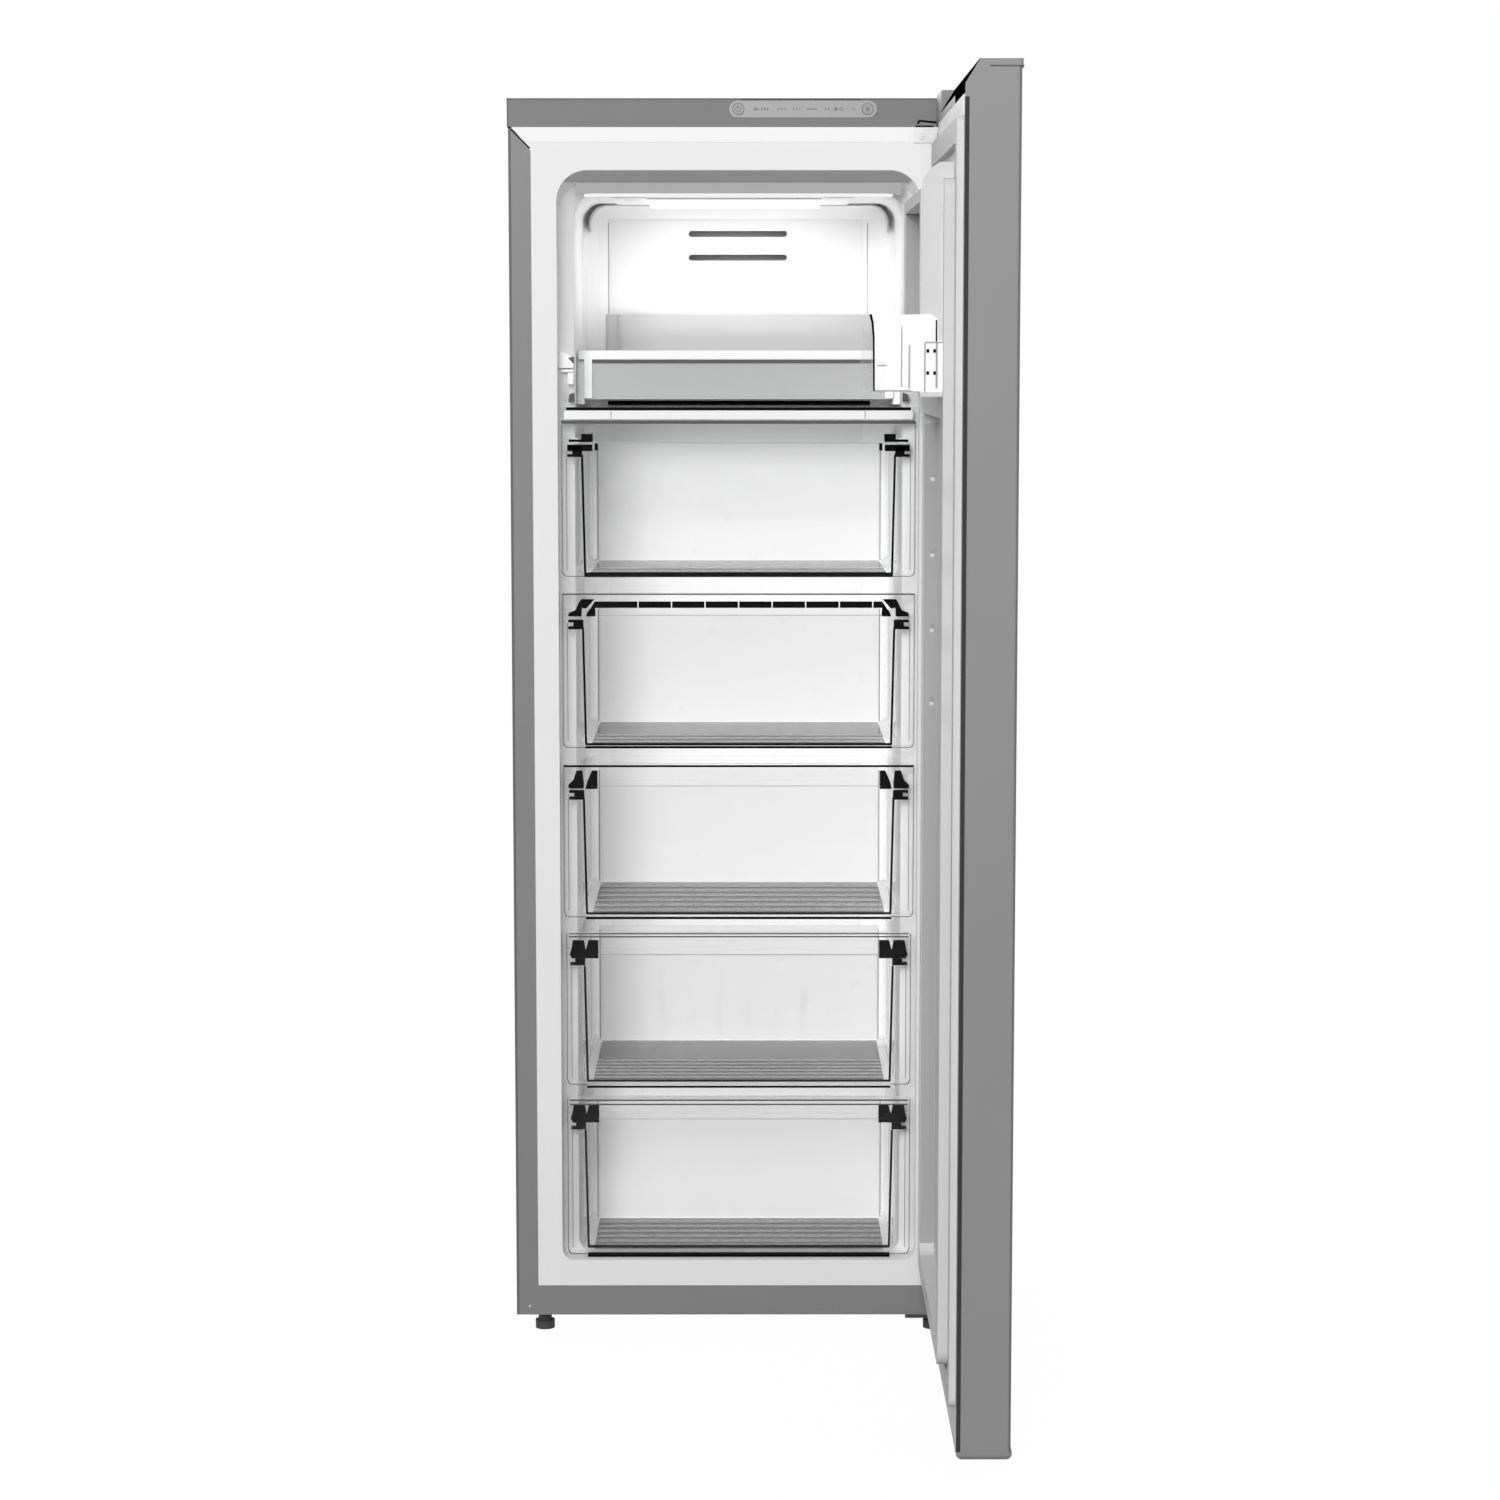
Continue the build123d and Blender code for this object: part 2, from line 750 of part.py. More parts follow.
def make_evaporator():
    y = evaporator_y()
    z0, z1 = evaporator_bottom, evaporator_bottom + evaporator_height
    pitch = evaporator_height / evaporator_rows
    bend = bend_share * pitch
    rows = [z0 + (row + 0.5) * pitch for row in range(evaporator_rows)]
    points = []
    reach = evaporator_half + bend + evaporator_end_plate
    for row, z in enumerate(rows):
        ends = (-reach, reach) if row % 2 == 0 else (reach, -reach)
        points += [(ends[0], y, z), (ends[1], y, z)]
    core = tube_along(points, cold_tube_radius, bend)
    first = -evaporator_half + fin_margin
    fin_step = -2 * first / (evaporator_fins - 1)
    for index in range(evaporator_fins):
        x = first + index * fin_step
        core += box(x - fin_thickness / 2, x + fin_thickness / 2,
                    y - fin_depth / 2, y + fin_depth / 2, z0, z1)
    for side in (-1, 1):
        x0, x1 = sorted((side * evaporator_half, side * (evaporator_half - evaporator_end_plate)))
        core += box(x0, x1, duct_front + duct_wall, chamber_back, z0 - evaporator_leg, z1)
    return core


def make_heater():
    """A U-shaped tube across the evaporator's foot, held in its end plates."""
    x = evaporator_half - evaporator_end_plate
    z = evaporator_bottom - heater_drop
    y0, y1 = evaporator_y() - heater_depth / 2, evaporator_y() + heater_depth / 2
    turn = x - heater_depth / 2
    points = [(-x, y0, z), (turn, y0, z), (turn, y1, z), (-x, y1, z)]
    return tube_along(points, cold_tube_radius, heater_bend)


def fan_y():
    return duct_front + duct_wall + fan_setback


def make_fan_bracket():
    y0 = duct_front + duct_wall
    y1 = fan_arms_y()
    outer = fan_radius + fan_tip_gap + ring_wall
    ring = rod(0, y0, fan_height, outer, y1 - y0, "y")
    ring -= rod(0, y0 - past, fan_height, fan_radius + fan_tip_gap, y1 - y0 + 2 * past, "y")
    for index in range(fan_arms):
        arm = box(-fan_arm_width / 2, fan_arm_width / 2, y1, y1 + fan_arm, 0, outer)
        ring += Pos(0, 0, fan_height) * Rot(0, 360 / fan_arms * index, 0) * arm
    ring += rod(0, y1, fan_height, motor_radius, fan_arm, "y")
    return ring - rod(0, y1 - past, fan_height, fan_shaft_radius + fan_shaft_play,
                      fan_arm + 2 * past, "y")


def fan_arms_y():
    return fan_y() + fan_thickness + fan_arm_gap


def make_fan_motor():
    y0, y1 = fan_y() + fan_shaft_setback, fan_arms_y() + fan_arm
    motor = rod(0, y1, fan_height, motor_radius, motor_length, "y")
    return motor + rod(0, y0, fan_height, fan_shaft_radius, y1 - y0 + past, "y")


def make_fan_blade():
    """A hub on the motor's shaft with twisted blades."""
    y = fan_y()
    fan = rod(0, y, fan_height, fan_hub_radius, fan_thickness, "y")
    blade = box(-blade_width / 2, blade_width / 2, -blade_thickness / 2, blade_thickness / 2,
                fan_hub_radius - blade_sink, fan_radius - blade_tip)
    blade = Pos(0, y + fan_thickness / 2, 0) * Rot(0, 0, blade_angle) * blade
    for index in range(fan_blades):
        turned = Rot(0, 360 / fan_blades * index, 0) * blade
        fan += Pos(0, 0, fan_height) * turned
    return fan - rod(0, y - past, fan_height, fan_shaft_radius + running_gap,
                     fan_thickness + 2 * past, "y")


def make_drain_tube():
    z = machine_top - drain_drop
    length = step_top - liner_wall - z
    tube = rod(drain_x(), drain_y(), z, drain_radius + drain_wall, length)
    return tube - rod(drain_x(), drain_y(), z - past, drain_radius, length + 2 * past)


def make_lamp_cover():
    top = chamber_top
    cover = box(lamp_left, lamp_right, lamp_front, lamp_back, top - lamp_drop, top)
    cover -= box(lamp_left + lamp_wall, lamp_right - lamp_wall, lamp_front + lamp_wall,
                 lamp_back - lamp_wall, top - lamp_drop + lamp_wall, top + past)
    return cover


def make_lamp_board():
    """A strip of lamps on the ceiling, under the cover."""
    middle = (lamp_left + lamp_right) / 2
    y0 = lamp_front + lamp_board_front
    low = chamber_top - board_thickness
    board = box(middle - lamp_board_half, middle + lamp_board_half,
                y0, y0 + lamp_board_depth, low, chamber_top)
    y = y0 + (lamp_board_depth - lamp_depth) / 2
    for index in range(lamps):
        x = middle + (index - (lamps - 1) / 2) * lamp_pitch
        board += box(x - lamp_width / 2, x + lamp_width / 2, y, y + lamp_depth,
                     low - lamp_height, low)
    return board


# ---------------------------------------------------------------- machine compartment
def make_compressor_plate():
    z = body_bottom
    plate = box(-inner_half, inner_half, machine_front, cabinet_depth - cover_recess - sheet,
                z, z + plate_sheet)
    for side in (-1, 1):
        x = side * (half_width - roller_inset)
        for offset in (-1, 1):
            a = x + offset * (roller_width / 2 + ear_gap)
            b = a + offset * plate_sheet
            plate += box(min(a, b), max(a, b), roller_y() - ear_half, roller_y() + ear_half,
                         ear_bottom, z)
        plate -= rod(x - roller_width, roller_y(), roller_radius,
                     axle_radius, 2 * roller_width, "x")
    for x, y in compressor_feet():
        plate -= rod(x, y, z - past, bolt_radius, plate_sheet + 2 * past)
    return plate


def roller_y():
    return cabinet_depth - roller_back


def compressor_feet():
    places = []
    for sx in (-1, 1):
        for sy in (-1, 1):
            places.append((compressor_x + sx * (compressor_foot_half - bolt_inset),
                           compressor_y + sy * (compressor_foot_depth - bolt_inset)))
    return places


def compressor_base():
    return body_bottom + plate_sheet + grommet_height


def make_axles():
    """The two roller axles, riveted in the plate's ears."""
    axles = []
    for side in (-1, 1):
        x = side * (half_width - roller_inset)
        length = roller_width + 2 * (ear_gap + plate_sheet)
        axles.append(rod(x - length / 2, roller_y(), roller_radius, axle_radius, length, "x"))
    return Compound(children=axles)


def make_roller(side):
    x = side * (half_width - roller_inset)
    wheel = rod(x - roller_width / 2, roller_y(), roller_radius, roller_radius, roller_width, "x")
    bore = axle_radius + running_gap
    return wheel - rod(x - roller_width, roller_y(), roller_radius, bore, 2 * roller_width, "x")


def make_compressor():
    z = compressor_base()
    r = compressor_radius
    shell = rod(compressor_x, compressor_y, z, r, compressor_height)
    shell = fillet(shell.edges().filter_by(GeomType.CIRCLE).group_by(Axis.Z)[-1],
                   compressor_round)
    feet = box(compressor_x - compressor_foot_half, compressor_x + compressor_foot_half,
               compressor_y - compressor_foot_depth, compressor_y + compressor_foot_depth,
               z, z + foot_plate)
    relay = box(compressor_x + r - relay_sink, compressor_x + r + relay_reach,
                compressor_y - relay_half, compressor_y + relay_half,
                z + relay_low, z + relay_low + relay_height)
    body = shell + feet + relay
    for x, y in compressor_feet():
        body -= rod(x, y, z - past, bolt_radius, foot_plate + 2 * past)
    return body


def make_grommets():
    """Rubber mounts under the compressor's feet."""
    rings = []
    for x, y in compressor_feet():
        ring = rod(x, y, body_bottom + plate_sheet, grommet_radius, grommet_height)
        rings.append(ring - rod(x, y, body_bottom, bolt_radius,
                                plate_sheet + grommet_height + past))
    return Compound(children=rings)


def make_compressor_bolts():
    """Bolts through the plate, the grommets and the compressor's feet, with their nuts."""
    bolts = []
    top = compressor_base() + foot_plate
    for x, y in compressor_feet():
        low = body_bottom - bolt_head
        shank = rod(x, y, low, bolt_radius - fit_gap, top + nut_height + bolt_end - low)
        head = rod(x, y, low, bolt_head_radius, bolt_head)
        nut = rod(x, y, top, nut_radius, nut_height)
        bolts.append(shank + head + nut)
    return Compound(children=bolts)


def make_drip_pan():
    z = compressor_base() + compressor_height
    x, y = compressor_x, compressor_y - drip_shift
    pan = box(x - drip_length / 2, x + drip_length / 2, y - drip_width / 2, y + drip_width / 2,
              z, z + drip_height)
    w = drip_wall
    return pan - box(x - drip_length / 2 + w, x + drip_length / 2 - w, y - drip_width / 2 + w,
                     y + drip_width / 2 - w, z + w, z + drip_height + past)


def make_refrigerant_lines():
    """Pipes brazed to the filter drier, and the suction pipe beside them."""
    z = compressor_base() + port_height
    front = compressor_y - compressor_radius
    reach = port_offset - suction_radius
    start = compressor_y - math.sqrt(compressor_radius ** 2 - reach ** 2) - touch
    top = machine_top - sheet - touch
    low = body_bottom + drier_low
    inlet = (drier_x, compressor_y, low)
    y = front - line_forward
    to_drier = tube_along([
        (compressor_x + port_offset, start, z), (compressor_x + port_offset, y, z),
        (drier_x, y, low - line_dip), (drier_x, compressor_y, low - line_dip), inlet,
    ], line_radius, line_bend)
    high = low + drier_length + line_rise
    from_drier = tube_along([
        (drier_x, compressor_y, low + drier_length), (drier_x, compressor_y, high),
        (drier_x + line_side, compressor_y, high), (drier_x + line_side, compressor_y, top),
    ], line_radius, line_bend)
    y = front - suction_forward
    suction = tube_along([
        (compressor_x - port_offset, start, z), (compressor_x - port_offset, y, z),
        (compressor_x - suction_side, y, z + line_rise), (compressor_x - suction_side, y, top),
    ], suction_radius, suction_bend)
    drier = rod(*inlet, drier_radius, drier_length)
    drier = fillet(drier.edges().filter_by(GeomType.CIRCLE), drier_round)
    return Compound(children=[to_drier + drier + from_drier, suction])


def make_machine_cover():
    y = cabinet_depth - cover_recess
    z0, z1 = body_bottom, machine_top - sheet
    cover = box(-inner_half, inner_half, y - sheet, y, z0, z1)
    for index in range(vent_slots):
        z = (z0 + z1) / 2 + (index - (vent_slots - 1) / 2) * vent_pitch
        for side in (-1, 1):
            x = side * inner_half / 2
            cover -= box(x - vent_length / 2, x + vent_length / 2, y - 2 * sheet, y + sheet,
                         z - vent_width / 2, z + vent_width / 2)
    return cover - rod(0, y - 2 * sheet, gland_z(), gland_radius, 4 * sheet, "y")


def gland_z():
    return body_bottom + gland_height


def make_gland():
    """The power inlet's bush, bare, in the rear cover."""
    y = cabinet_depth - cover_recess
    z = gland_z()
    bush = rod(0, y - gland_length / 2, z, gland_radius, gland_length, "y")
    bush += rod(0, y, z, gland_radius + gland_flange, gland_flange, "y")
    return bush - rod(0, y - gland_length, z, gland_bore, 2 * gland_length, "y")


# ---------------------------------------------------------------- feet
def make_foot(side):
    x, y = foot_x(side), foot_back
    pad = rod(x, y, 0, foot_pad_radius, foot_pad_height)
    neck = rod(x, y, foot_pad_height, foot_neck_radius, body_bottom - touch - foot_pad_height)
    stud = rod(x, y, body_bottom - touch - past, foot_stud_radius, foot_stud_length)
    return pad + neck + stud


# ---------------------------------------------------------------- shelf and tray
def make_shelf():
    """Glass shelf with a moulded front edge that fills the opening's width."""
    lip_y = drawer_front_y
    x = chamber_half - shelf_play
    glass = box(-x, x, lip_y, shelf_back, shelf_top - shelf_glass, shelf_top)
    glass += box(-drawer_half, drawer_half, lip_y, mouth_depth + shelf_play,
                 shelf_top - shelf_glass, shelf_top)
    lip = box(-drawer_half, drawer_half, lip_y, lip_y + shelf_lip_wall,
              shelf_top - shelf_lip, shelf_top - shelf_glass)
    return glass + lip


def make_tray():
    w = tray_wall
    y0 = tray_front + tray_lip_gap
    body = box(-tray_half, tray_half, y0, tray_back, tray_bottom, tray_rim)
    body += box(-tray_rim_half, tray_rim_half, tray_front, tray_back, tray_rim - w, tray_rim)
    body += box(-tray_rim_half, tray_rim_half, tray_front, tray_front + w,
                tray_rim - tray_lip, tray_rim)
    body += box(-tray_riser_half, tray_riser_half, tray_back - w, tray_back,
                tray_rim - w, tray_rim + tray_riser)
    return body - box(-tray_half + w, tray_half - w, y0 + w, tray_back - w,
                      tray_floor, tray_rim + tray_riser + past)


# ---------------------------------------------------------------- drawers
def make_drawer_front(bottom, top):
    y0 = drawer_front_y
    w = drawer_wall
    r = drawer_corner
    plate = slab(y0, y0 + w + drawer_return, -drawer_half, drawer_half, bottom, top, r)
    return plate - slab(y0 + w, y0 + w + drawer_return + past, -drawer_half + w,
                        drawer_half - w, bottom + w, top - w, r - w)


def tub_outline(half, y, bottom, top):
    """The tub's cross-section: straight sides and rounded bottom corners."""
    shape = Rectangle(2 * half, top - bottom)
    shape = fillet(shape.vertices().group_by(Axis.Y)[0], tub_radius)
    return Pos(0, y, 0) * (Plane.XZ * (Pos(0, (top + bottom) / 2) * shape))


def make_tub(bottom, top, back):
    w = drawer_wall
    y0 = drawer_front_y + drawer_wall
    floor = bottom + w + touch
    rim = top - tub_drop
    outer = loft([tub_outline(tub_half_front, y0, floor, rim).face(),
                  tub_outline(tub_half_back, back, floor, rim).face()], ruled=True)
    outer += box(-tub_flange_half, tub_flange_half, funnel_end + tub_flange_setback, back,
                 rim - tub_flange, rim)
    inner = loft([tub_outline(tub_half_front - w, y0 + w, floor + w, rim + past).face(),
                  tub_outline(tub_half_back - w, back - w, floor + w, rim + past).face()],
                 ruled=True)
    for side in (-1, 1):
        x0, x1 = sorted((side * (tub_half_front - block_root), side * block_out))
        outer += box(x0, x1, y0 + touch, y0 + block_depth, rim - block_height, rim)
    return outer - inner


# ---------------------------------------------------------------- door
def door_outline(z0, z1, inset=0.0, bulge=0.0):
    """The door's outline seen from above, drawn in by inset, as a solid from z0 to z1."""
    x = half_width - inset
    y_out, y_in = door_out - bulge + inset, door_in - inset
    body = box(-x, x, y_out, y_in, z0, z1)
    body = fillet(body.edges().filter_by(Axis.Z).group_by(Axis.Y)[0], door_corner - inset)
    cut = door_hinge_chamfer - (2 - math.sqrt(2)) * inset
    corner = [(x - cut, y_in + past), (x - cut, y_in), (x, y_in - cut),
              (x + past, y_in - cut), (x + past, y_in + past)]
    return body - profile_z(corner, z0 - past, z1 + past)


def hinge_pocket():
    """The space that the upper hinge arm sweeps inside the door."""
    z0 = trim_bottom - top_arm_drop - hinge_plate
    return box(hinge_x - pocket_half, half_width + past, hinge_y - pocket_back,
               door_in + tall_height, z0 - pocket_play, z0 + hinge_plate + pocket_play)


def top_cap_profile():
    """The top cap's cross-section, thin over the outer face and deep on the inner side."""
    y_turn = door_out + top_cap_flat
    return [
        (door_out - cap_bulge, door_top), (door_out - cap_bulge, skin_top),
        (y_turn, skin_top), (y_turn + top_cap_slope, door_top - top_cap_inner),
        (door_in, door_top - top_cap_inner), (door_in, door_top),
    ]


def make_top_cap():
    cap = profile_x(top_cap_profile(), -half_width, half_width)
    cap &= door_outline(door_top - top_cap_inner, door_top, bulge=cap_bulge)
    chamfer_shape = profile_x([
        (door_in - cap_chamfer_width, door_top), (door_in - cap_chamfer_width, door_top + past),
        (door_in + past, door_top + past), (door_in + past, door_top - cap_chamfer_height),
        (door_in, door_top - cap_chamfer_height),
    ], -half_width - past, half_width - cap_chamfer_stop)
    cap = cap - chamfer_shape - hinge_pocket()
    return cap - rod(hinge_x, hinge_y, upper_bush_bottom(), bush_radius, bush_length)


def upper_bush_bottom():
    return trim_bottom - top_arm_drop + pocket_play


def bush_heights():
    return (door_bottom, upper_bush_bottom())


def make_bottom_cap():
    cap = door_outline(door_bottom, skin_bottom, bulge=cap_bulge)
    bevel = profile_x([
        (door_in - bottom_cap_bevel, door_bottom), (door_in - bottom_cap_bevel, door_bottom - past),
        (door_in + past, door_bottom - past), (door_in + past, door_bottom + bottom_cap_bevel),
        (door_in, door_bottom + bottom_cap_bevel),
    ], -half_width - past, half_width + past)
    edge = cap.edges().filter_by(Axis.X).group_by(Axis.Z)[0].group_by(Axis.Y)[0]
    cap = fillet(edge, bottom_cap_round)
    return cap - bevel - rod(hinge_x, hinge_y, door_bottom - past, bush_radius, bush_length)


def under_cap(z0, inset):
    """The door's slab under the top cap, from z0, drawn in by inset."""
    slab_body = door_outline(z0, door_top - top_cap, inset)
    return slab_body - profile_x(top_cap_profile(), -half_width, half_width)


def make_door_skin():
    skin = under_cap(skin_bottom, 0) - door_outline(door_bottom, door_top, sheet)
    window = box(-door_lining_half, door_lining_half, door_in - 2 * sheet, door_in + past,
                 door_bottom, door_top)
    return skin - window - hinge_pocket()


def lining_form(shrink):
    """The door lining's raised form: a low rim, and tall cheeks beside the bin."""
    s = shrink
    y0 = door_in - door_lining_wall
    low_top = tall_bottom
    form = slab(y0, door_in + dike_height - s, -dike_half + s, dike_half - s,
                dike_bottom + s, tall_top - s, dike_radius)
    form -= slab(y0 - past, door_in + dike_height + past, -dike_half + dike_width - s,
                 dike_half - dike_width + s, dike_bottom + dike_width - s,
                 low_top - dike_width + s, dike_radius)
    form -= slab(y0 - past, door_in + dike_height + past, -tall_half + dike_width - s,
                 tall_half - dike_width + s, low_top - s,
                 tall_top - dike_width + s, cheek_radius)
    cheeks = profile_x([
        (y0, tall_bottom + s), (door_in + tall_height - s, tall_bottom + s),
        (door_in + tall_height - s, tall_top - cheek_slope - s),
        (door_in + dike_height, tall_top - s),
        (y0, tall_top - s),
    ], -tall_half + s, tall_half - s)
    cheeks -= box(-tall_half + dike_width - s, tall_half - dike_width + s, y0 - past,
                  door_in + tall_height + past, tall_bottom - past, tall_top - dike_width + s)
    return form + cheeks


def lining_plate(shrink):
    y1 = door_in - shrink
    return box(-door_lining_half, door_lining_half, door_in - door_lining_wall, y1,
               skin_bottom, door_top - top_cap_inner)


def make_door_lining():
    lining = lining_plate(0) + lining_form(0) - lining_form(door_lining_wall)
    lining -= hinge_pocket()
    for side in (-1, 1):
        lining += bin_boss(side, bin_boss_radius)
    return lining


def bin_boss(side, radius):
    """A round boss on the inside of each cheek, which the bin drops over."""
    x = side * (tall_half - dike_width)
    y = door_in + tall_height / 2
    return rod(min(x, x - side * bin_boss_length), y, bin_bottom + bin_boss_height, radius,
               bin_boss_length, "x")


def make_door_foam():
    foam = under_cap(skin_bottom, sheet) - lining_plate(0)
    foam += lining_form(door_lining_wall)
    foam -= hinge_pocket()
    for z in bush_heights():
        foam -= rod(hinge_x, hinge_y, z, bush_radius, bush_length)
    return foam


def make_gasket():
    y0, y1 = door_in, -touch
    ring = slab(y0, y1, -gasket_outer, gasket_outer, gasket_bottom, gasket_top, gasket_radius)
    x = gasket_outer - gasket_width
    return ring - slab(y0 - past, y1 + past, -x, x, gasket_bottom + gasket_width,
                       gasket_top - gasket_width, gasket_inner_radius)


def make_bushes():
    """Bushes for the two hinge pins, in the door's bottom and top cap."""
    bushes = []
    for z in bush_heights():
        bush = rod(hinge_x, hinge_y, z, bush_radius, bush_length)
        bushes.append(bush - rod(hinge_x, hinge_y, z - past, pin_radius + running_gap,
                                 bush_length + 2 * past))
    return Compound(children=bushes)


def make_bin():
    """The door's bin: its root fits between the cheeks, its front is wider."""
    w = bin_wall
    y0, y_step = door_in + bin_back_gap, door_in + tall_height + bin_cheek_gap
    z0, z1 = bin_bottom, bin_bottom + bin_height
    form = box(-bin_root_half, bin_root_half, y0, y_step + w, z0, z1)
    front = box(-bin_half, bin_half, y_step, bin_tip, z0, z1)
    form += fillet(front.edges().filter_by(Axis.Z).group_by(Axis.Y)[-1], bin_corner)
    hollow = box(-bin_root_half + w, bin_root_half - w, y0 + w, y_step + w + past,
                 z0 + w, z1 + past)
    inside = box(-bin_half + w, bin_half - w, y_step + w, bin_tip - w, z0 + w, z1 + past)
    hollow += fillet(inside.edges().filter_by(Axis.Z).group_by(Axis.Y)[-1], bin_corner - w)
    body = form - hollow
    for side in (-1, 1):
        x0, x1 = sorted((side * (bin_root_half - bin_slot_half),
                         side * (bin_root_half + bin_slot_half)))
        y = door_in + tall_height / 2
        gap = bin_boss_radius + bin_boss_play
        z = bin_bottom + bin_boss_height
        body -= box(x0, x1, y - gap, y + gap, z0 - past, z)
        body -= rod(x0, y, z, gap, x1 - x0, "x")
    return body


# ---------------------------------------------------------------- hinges
def top_arm_z():
    return trim_bottom - top_arm_drop - hinge_plate


def bottom_arm_z():
    return door_bottom - bottom_arm_gap - hinge_plate


def arm_plate(z):
    """The arm under or over the door, rounded about the pin."""
    arm = box(hinge_x - hinge_arm_half, hinge_x + hinge_arm_half, hinge_y, 0, z, z + hinge_plate)
    return arm + rod(hinge_x, hinge_y, z, hinge_arm_half, hinge_plate)


def make_top_bracket():
    """A flange on the front frame under the trim, with the arm and its pin hole."""
    z = top_arm_z()
    flange = box(hinge_left, hinge_x + hinge_drop_half, -hinge_sheet, 0,
                 z + hinge_plate - hinge_flange, z + hinge_plate)
    bracket = flange + arm_plate(z) - pin_hole(z)
    for place in top_screws:
        bracket -= rod(hinge_left + place, -hinge_sheet - past, top_screw_z(),
                       hinge_screw_radius, hinge_sheet + 2 * past, "y")
    return bracket


def pin_hole(z):
    return rod(hinge_x, hinge_y, z - past, pin_radius, hinge_plate + 2 * past)


def top_screw_z():
    return top_arm_z() + hinge_plate - top_screw_drop


def make_bottom_bracket():
    """A strap under the cabinet, a drop at the front plane and the arm under the door."""
    z = bottom_arm_z()
    left = hinge_left - strap_left
    strap = box(left, half_width - strap_right, 0, strap_depth,
                body_bottom - hinge_plate, body_bottom)
    lip = box(left, hinge_x + hinge_drop_half, -hinge_sheet, 0,
              body_bottom - hinge_plate, body_bottom)
    drop = box(hinge_x - hinge_arm_half, hinge_x + hinge_drop_half, -hinge_sheet, 0,
               z, body_bottom)
    bracket = strap + lip + drop + arm_plate(z) - pin_hole(z)
    low = body_bottom - hinge_plate - past
    length = hinge_plate + 2 * past
    bracket -= rod(foot_x(1), foot_back, low, foot_neck_radius + foot_hole_play, length)
    for place in bottom_screws:
        bracket -= rod(hinge_left + place, bottom_screw_y(), low, hinge_screw_radius, length)
    return bracket


def bottom_screw_y():
    return strap_depth - bottom_screw_setback


def make_pins():
    """The two hinge pins, each riveted in its arm."""
    lower = rod(hinge_x, hinge_y, bottom_arm_z(), pin_radius,
                hinge_plate + bottom_arm_gap + pin_length)
    upper = rod(hinge_x, hinge_y, top_arm_z(), pin_radius, hinge_plate + pocket_play + pin_length)
    return Compound(children=[lower, upper])


def make_hinge_screws():
    screws = []
    shank_radius = hinge_screw_radius - fit_gap
    for place in top_screws:
        x, y, z = hinge_left + place, -hinge_sheet, top_screw_z()
        head = rod(x, y - screw_head, z, hinge_screw_head, screw_head, "y")
        screws.append(head + rod(x, y - past, z, shank_radius, hinge_sheet + past, "y"))
    for place in bottom_screws:
        x, y, z = hinge_left + place, bottom_screw_y(), body_bottom - hinge_plate
        head = rod(x, y, z - screw_head, hinge_screw_head, screw_head)
        screws.append(head + rod(x, y, z - past, shank_radius, hinge_plate + past))
    return Compound(children=screws)


# ---------------------------------------------------------------- all pieces
os.makedirs("parts", exist_ok=True)

save("left_side_panel", make_side_panel(-1))
save("right_side_panel", make_side_panel(1))
save("top_panel", make_top_panel())
save("top_trim", make_top_trim())
save("rear_panel", make_rear_panel())
save("bottom_pan", make_bottom_pan())
save("front_bottom_rail", make_bottom_rail())
save("insulation_foam", make_foam())
save("liner", make_liner())
save("control_panel", make_control_panel())
save("control_board", make_control_board())
for name, place in zip(("left_button", "right_button"), button_places()):
    save(name, make_button(place))
save("lamp_cover", make_lamp_cover())
save("lamp_board", make_lamp_board())
save("duct_cover", make_duct_cover())
save("evaporator", make_evaporator())
save("defrost_heater", make_heater())
save("fan_bracket", make_fan_bracket())
save("fan_motor", make_fan_motor())
save("fan_blade", make_fan_blade())
save("drain_tube", make_drain_tube())
save("condenser_tubing", make_condenser())
save("compressor_plate", make_compressor_plate())
save("compressor", make_compressor())
save("compressor_grommets", make_grommets())
save("compressor_bolts", make_compressor_bolts())
save("drip_pan", make_drip_pan())
save("refrigerant_lines", make_refrigerant_lines())
save("machine_cover", make_machine_cover())
save("power_gland", make_gland())
save("roller_axles", make_axles())
for name, side in (("left", -1), ("right", 1)):
    save(f"rear_{name}_roller", make_roller(side))
    save(f"front_{name}_foot", make_foot(side))
save("glass_shelf", make_shelf())
save("tray", make_tray())
for index, (bottom, top) in enumerate(drawer_levels()):
    save(f"drawer_{index + 1}_front", make_drawer_front(bottom, top))
    save(f"drawer_{index + 1}_tub", make_tub(bottom, top, tub_depth(index)))
save("top_hinge_bracket", make_top_bracket())
save("bottom_hinge_bracket", make_bottom_bracket())
save("hinge_pins", make_pins())
save("hinge_screws", make_hinge_screws())
save_door("door_skin", make_door_skin())
save_door("door_lining", make_door_lining())
save_door("door_foam", make_door_foam())
save_door("door_top_cap", make_top_cap())
save_door("door_bottom_cap", make_bottom_cap())
save_door("door_gasket", make_gasket())
save_door("door_bushes", make_bushes())
save_door("door_bin", make_bin())
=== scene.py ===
"""Looks of the upright freezer: finishes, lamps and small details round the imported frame."""

import json
import math

import bmesh
import bpy
from mathutils import Euler, Matrix, Vector


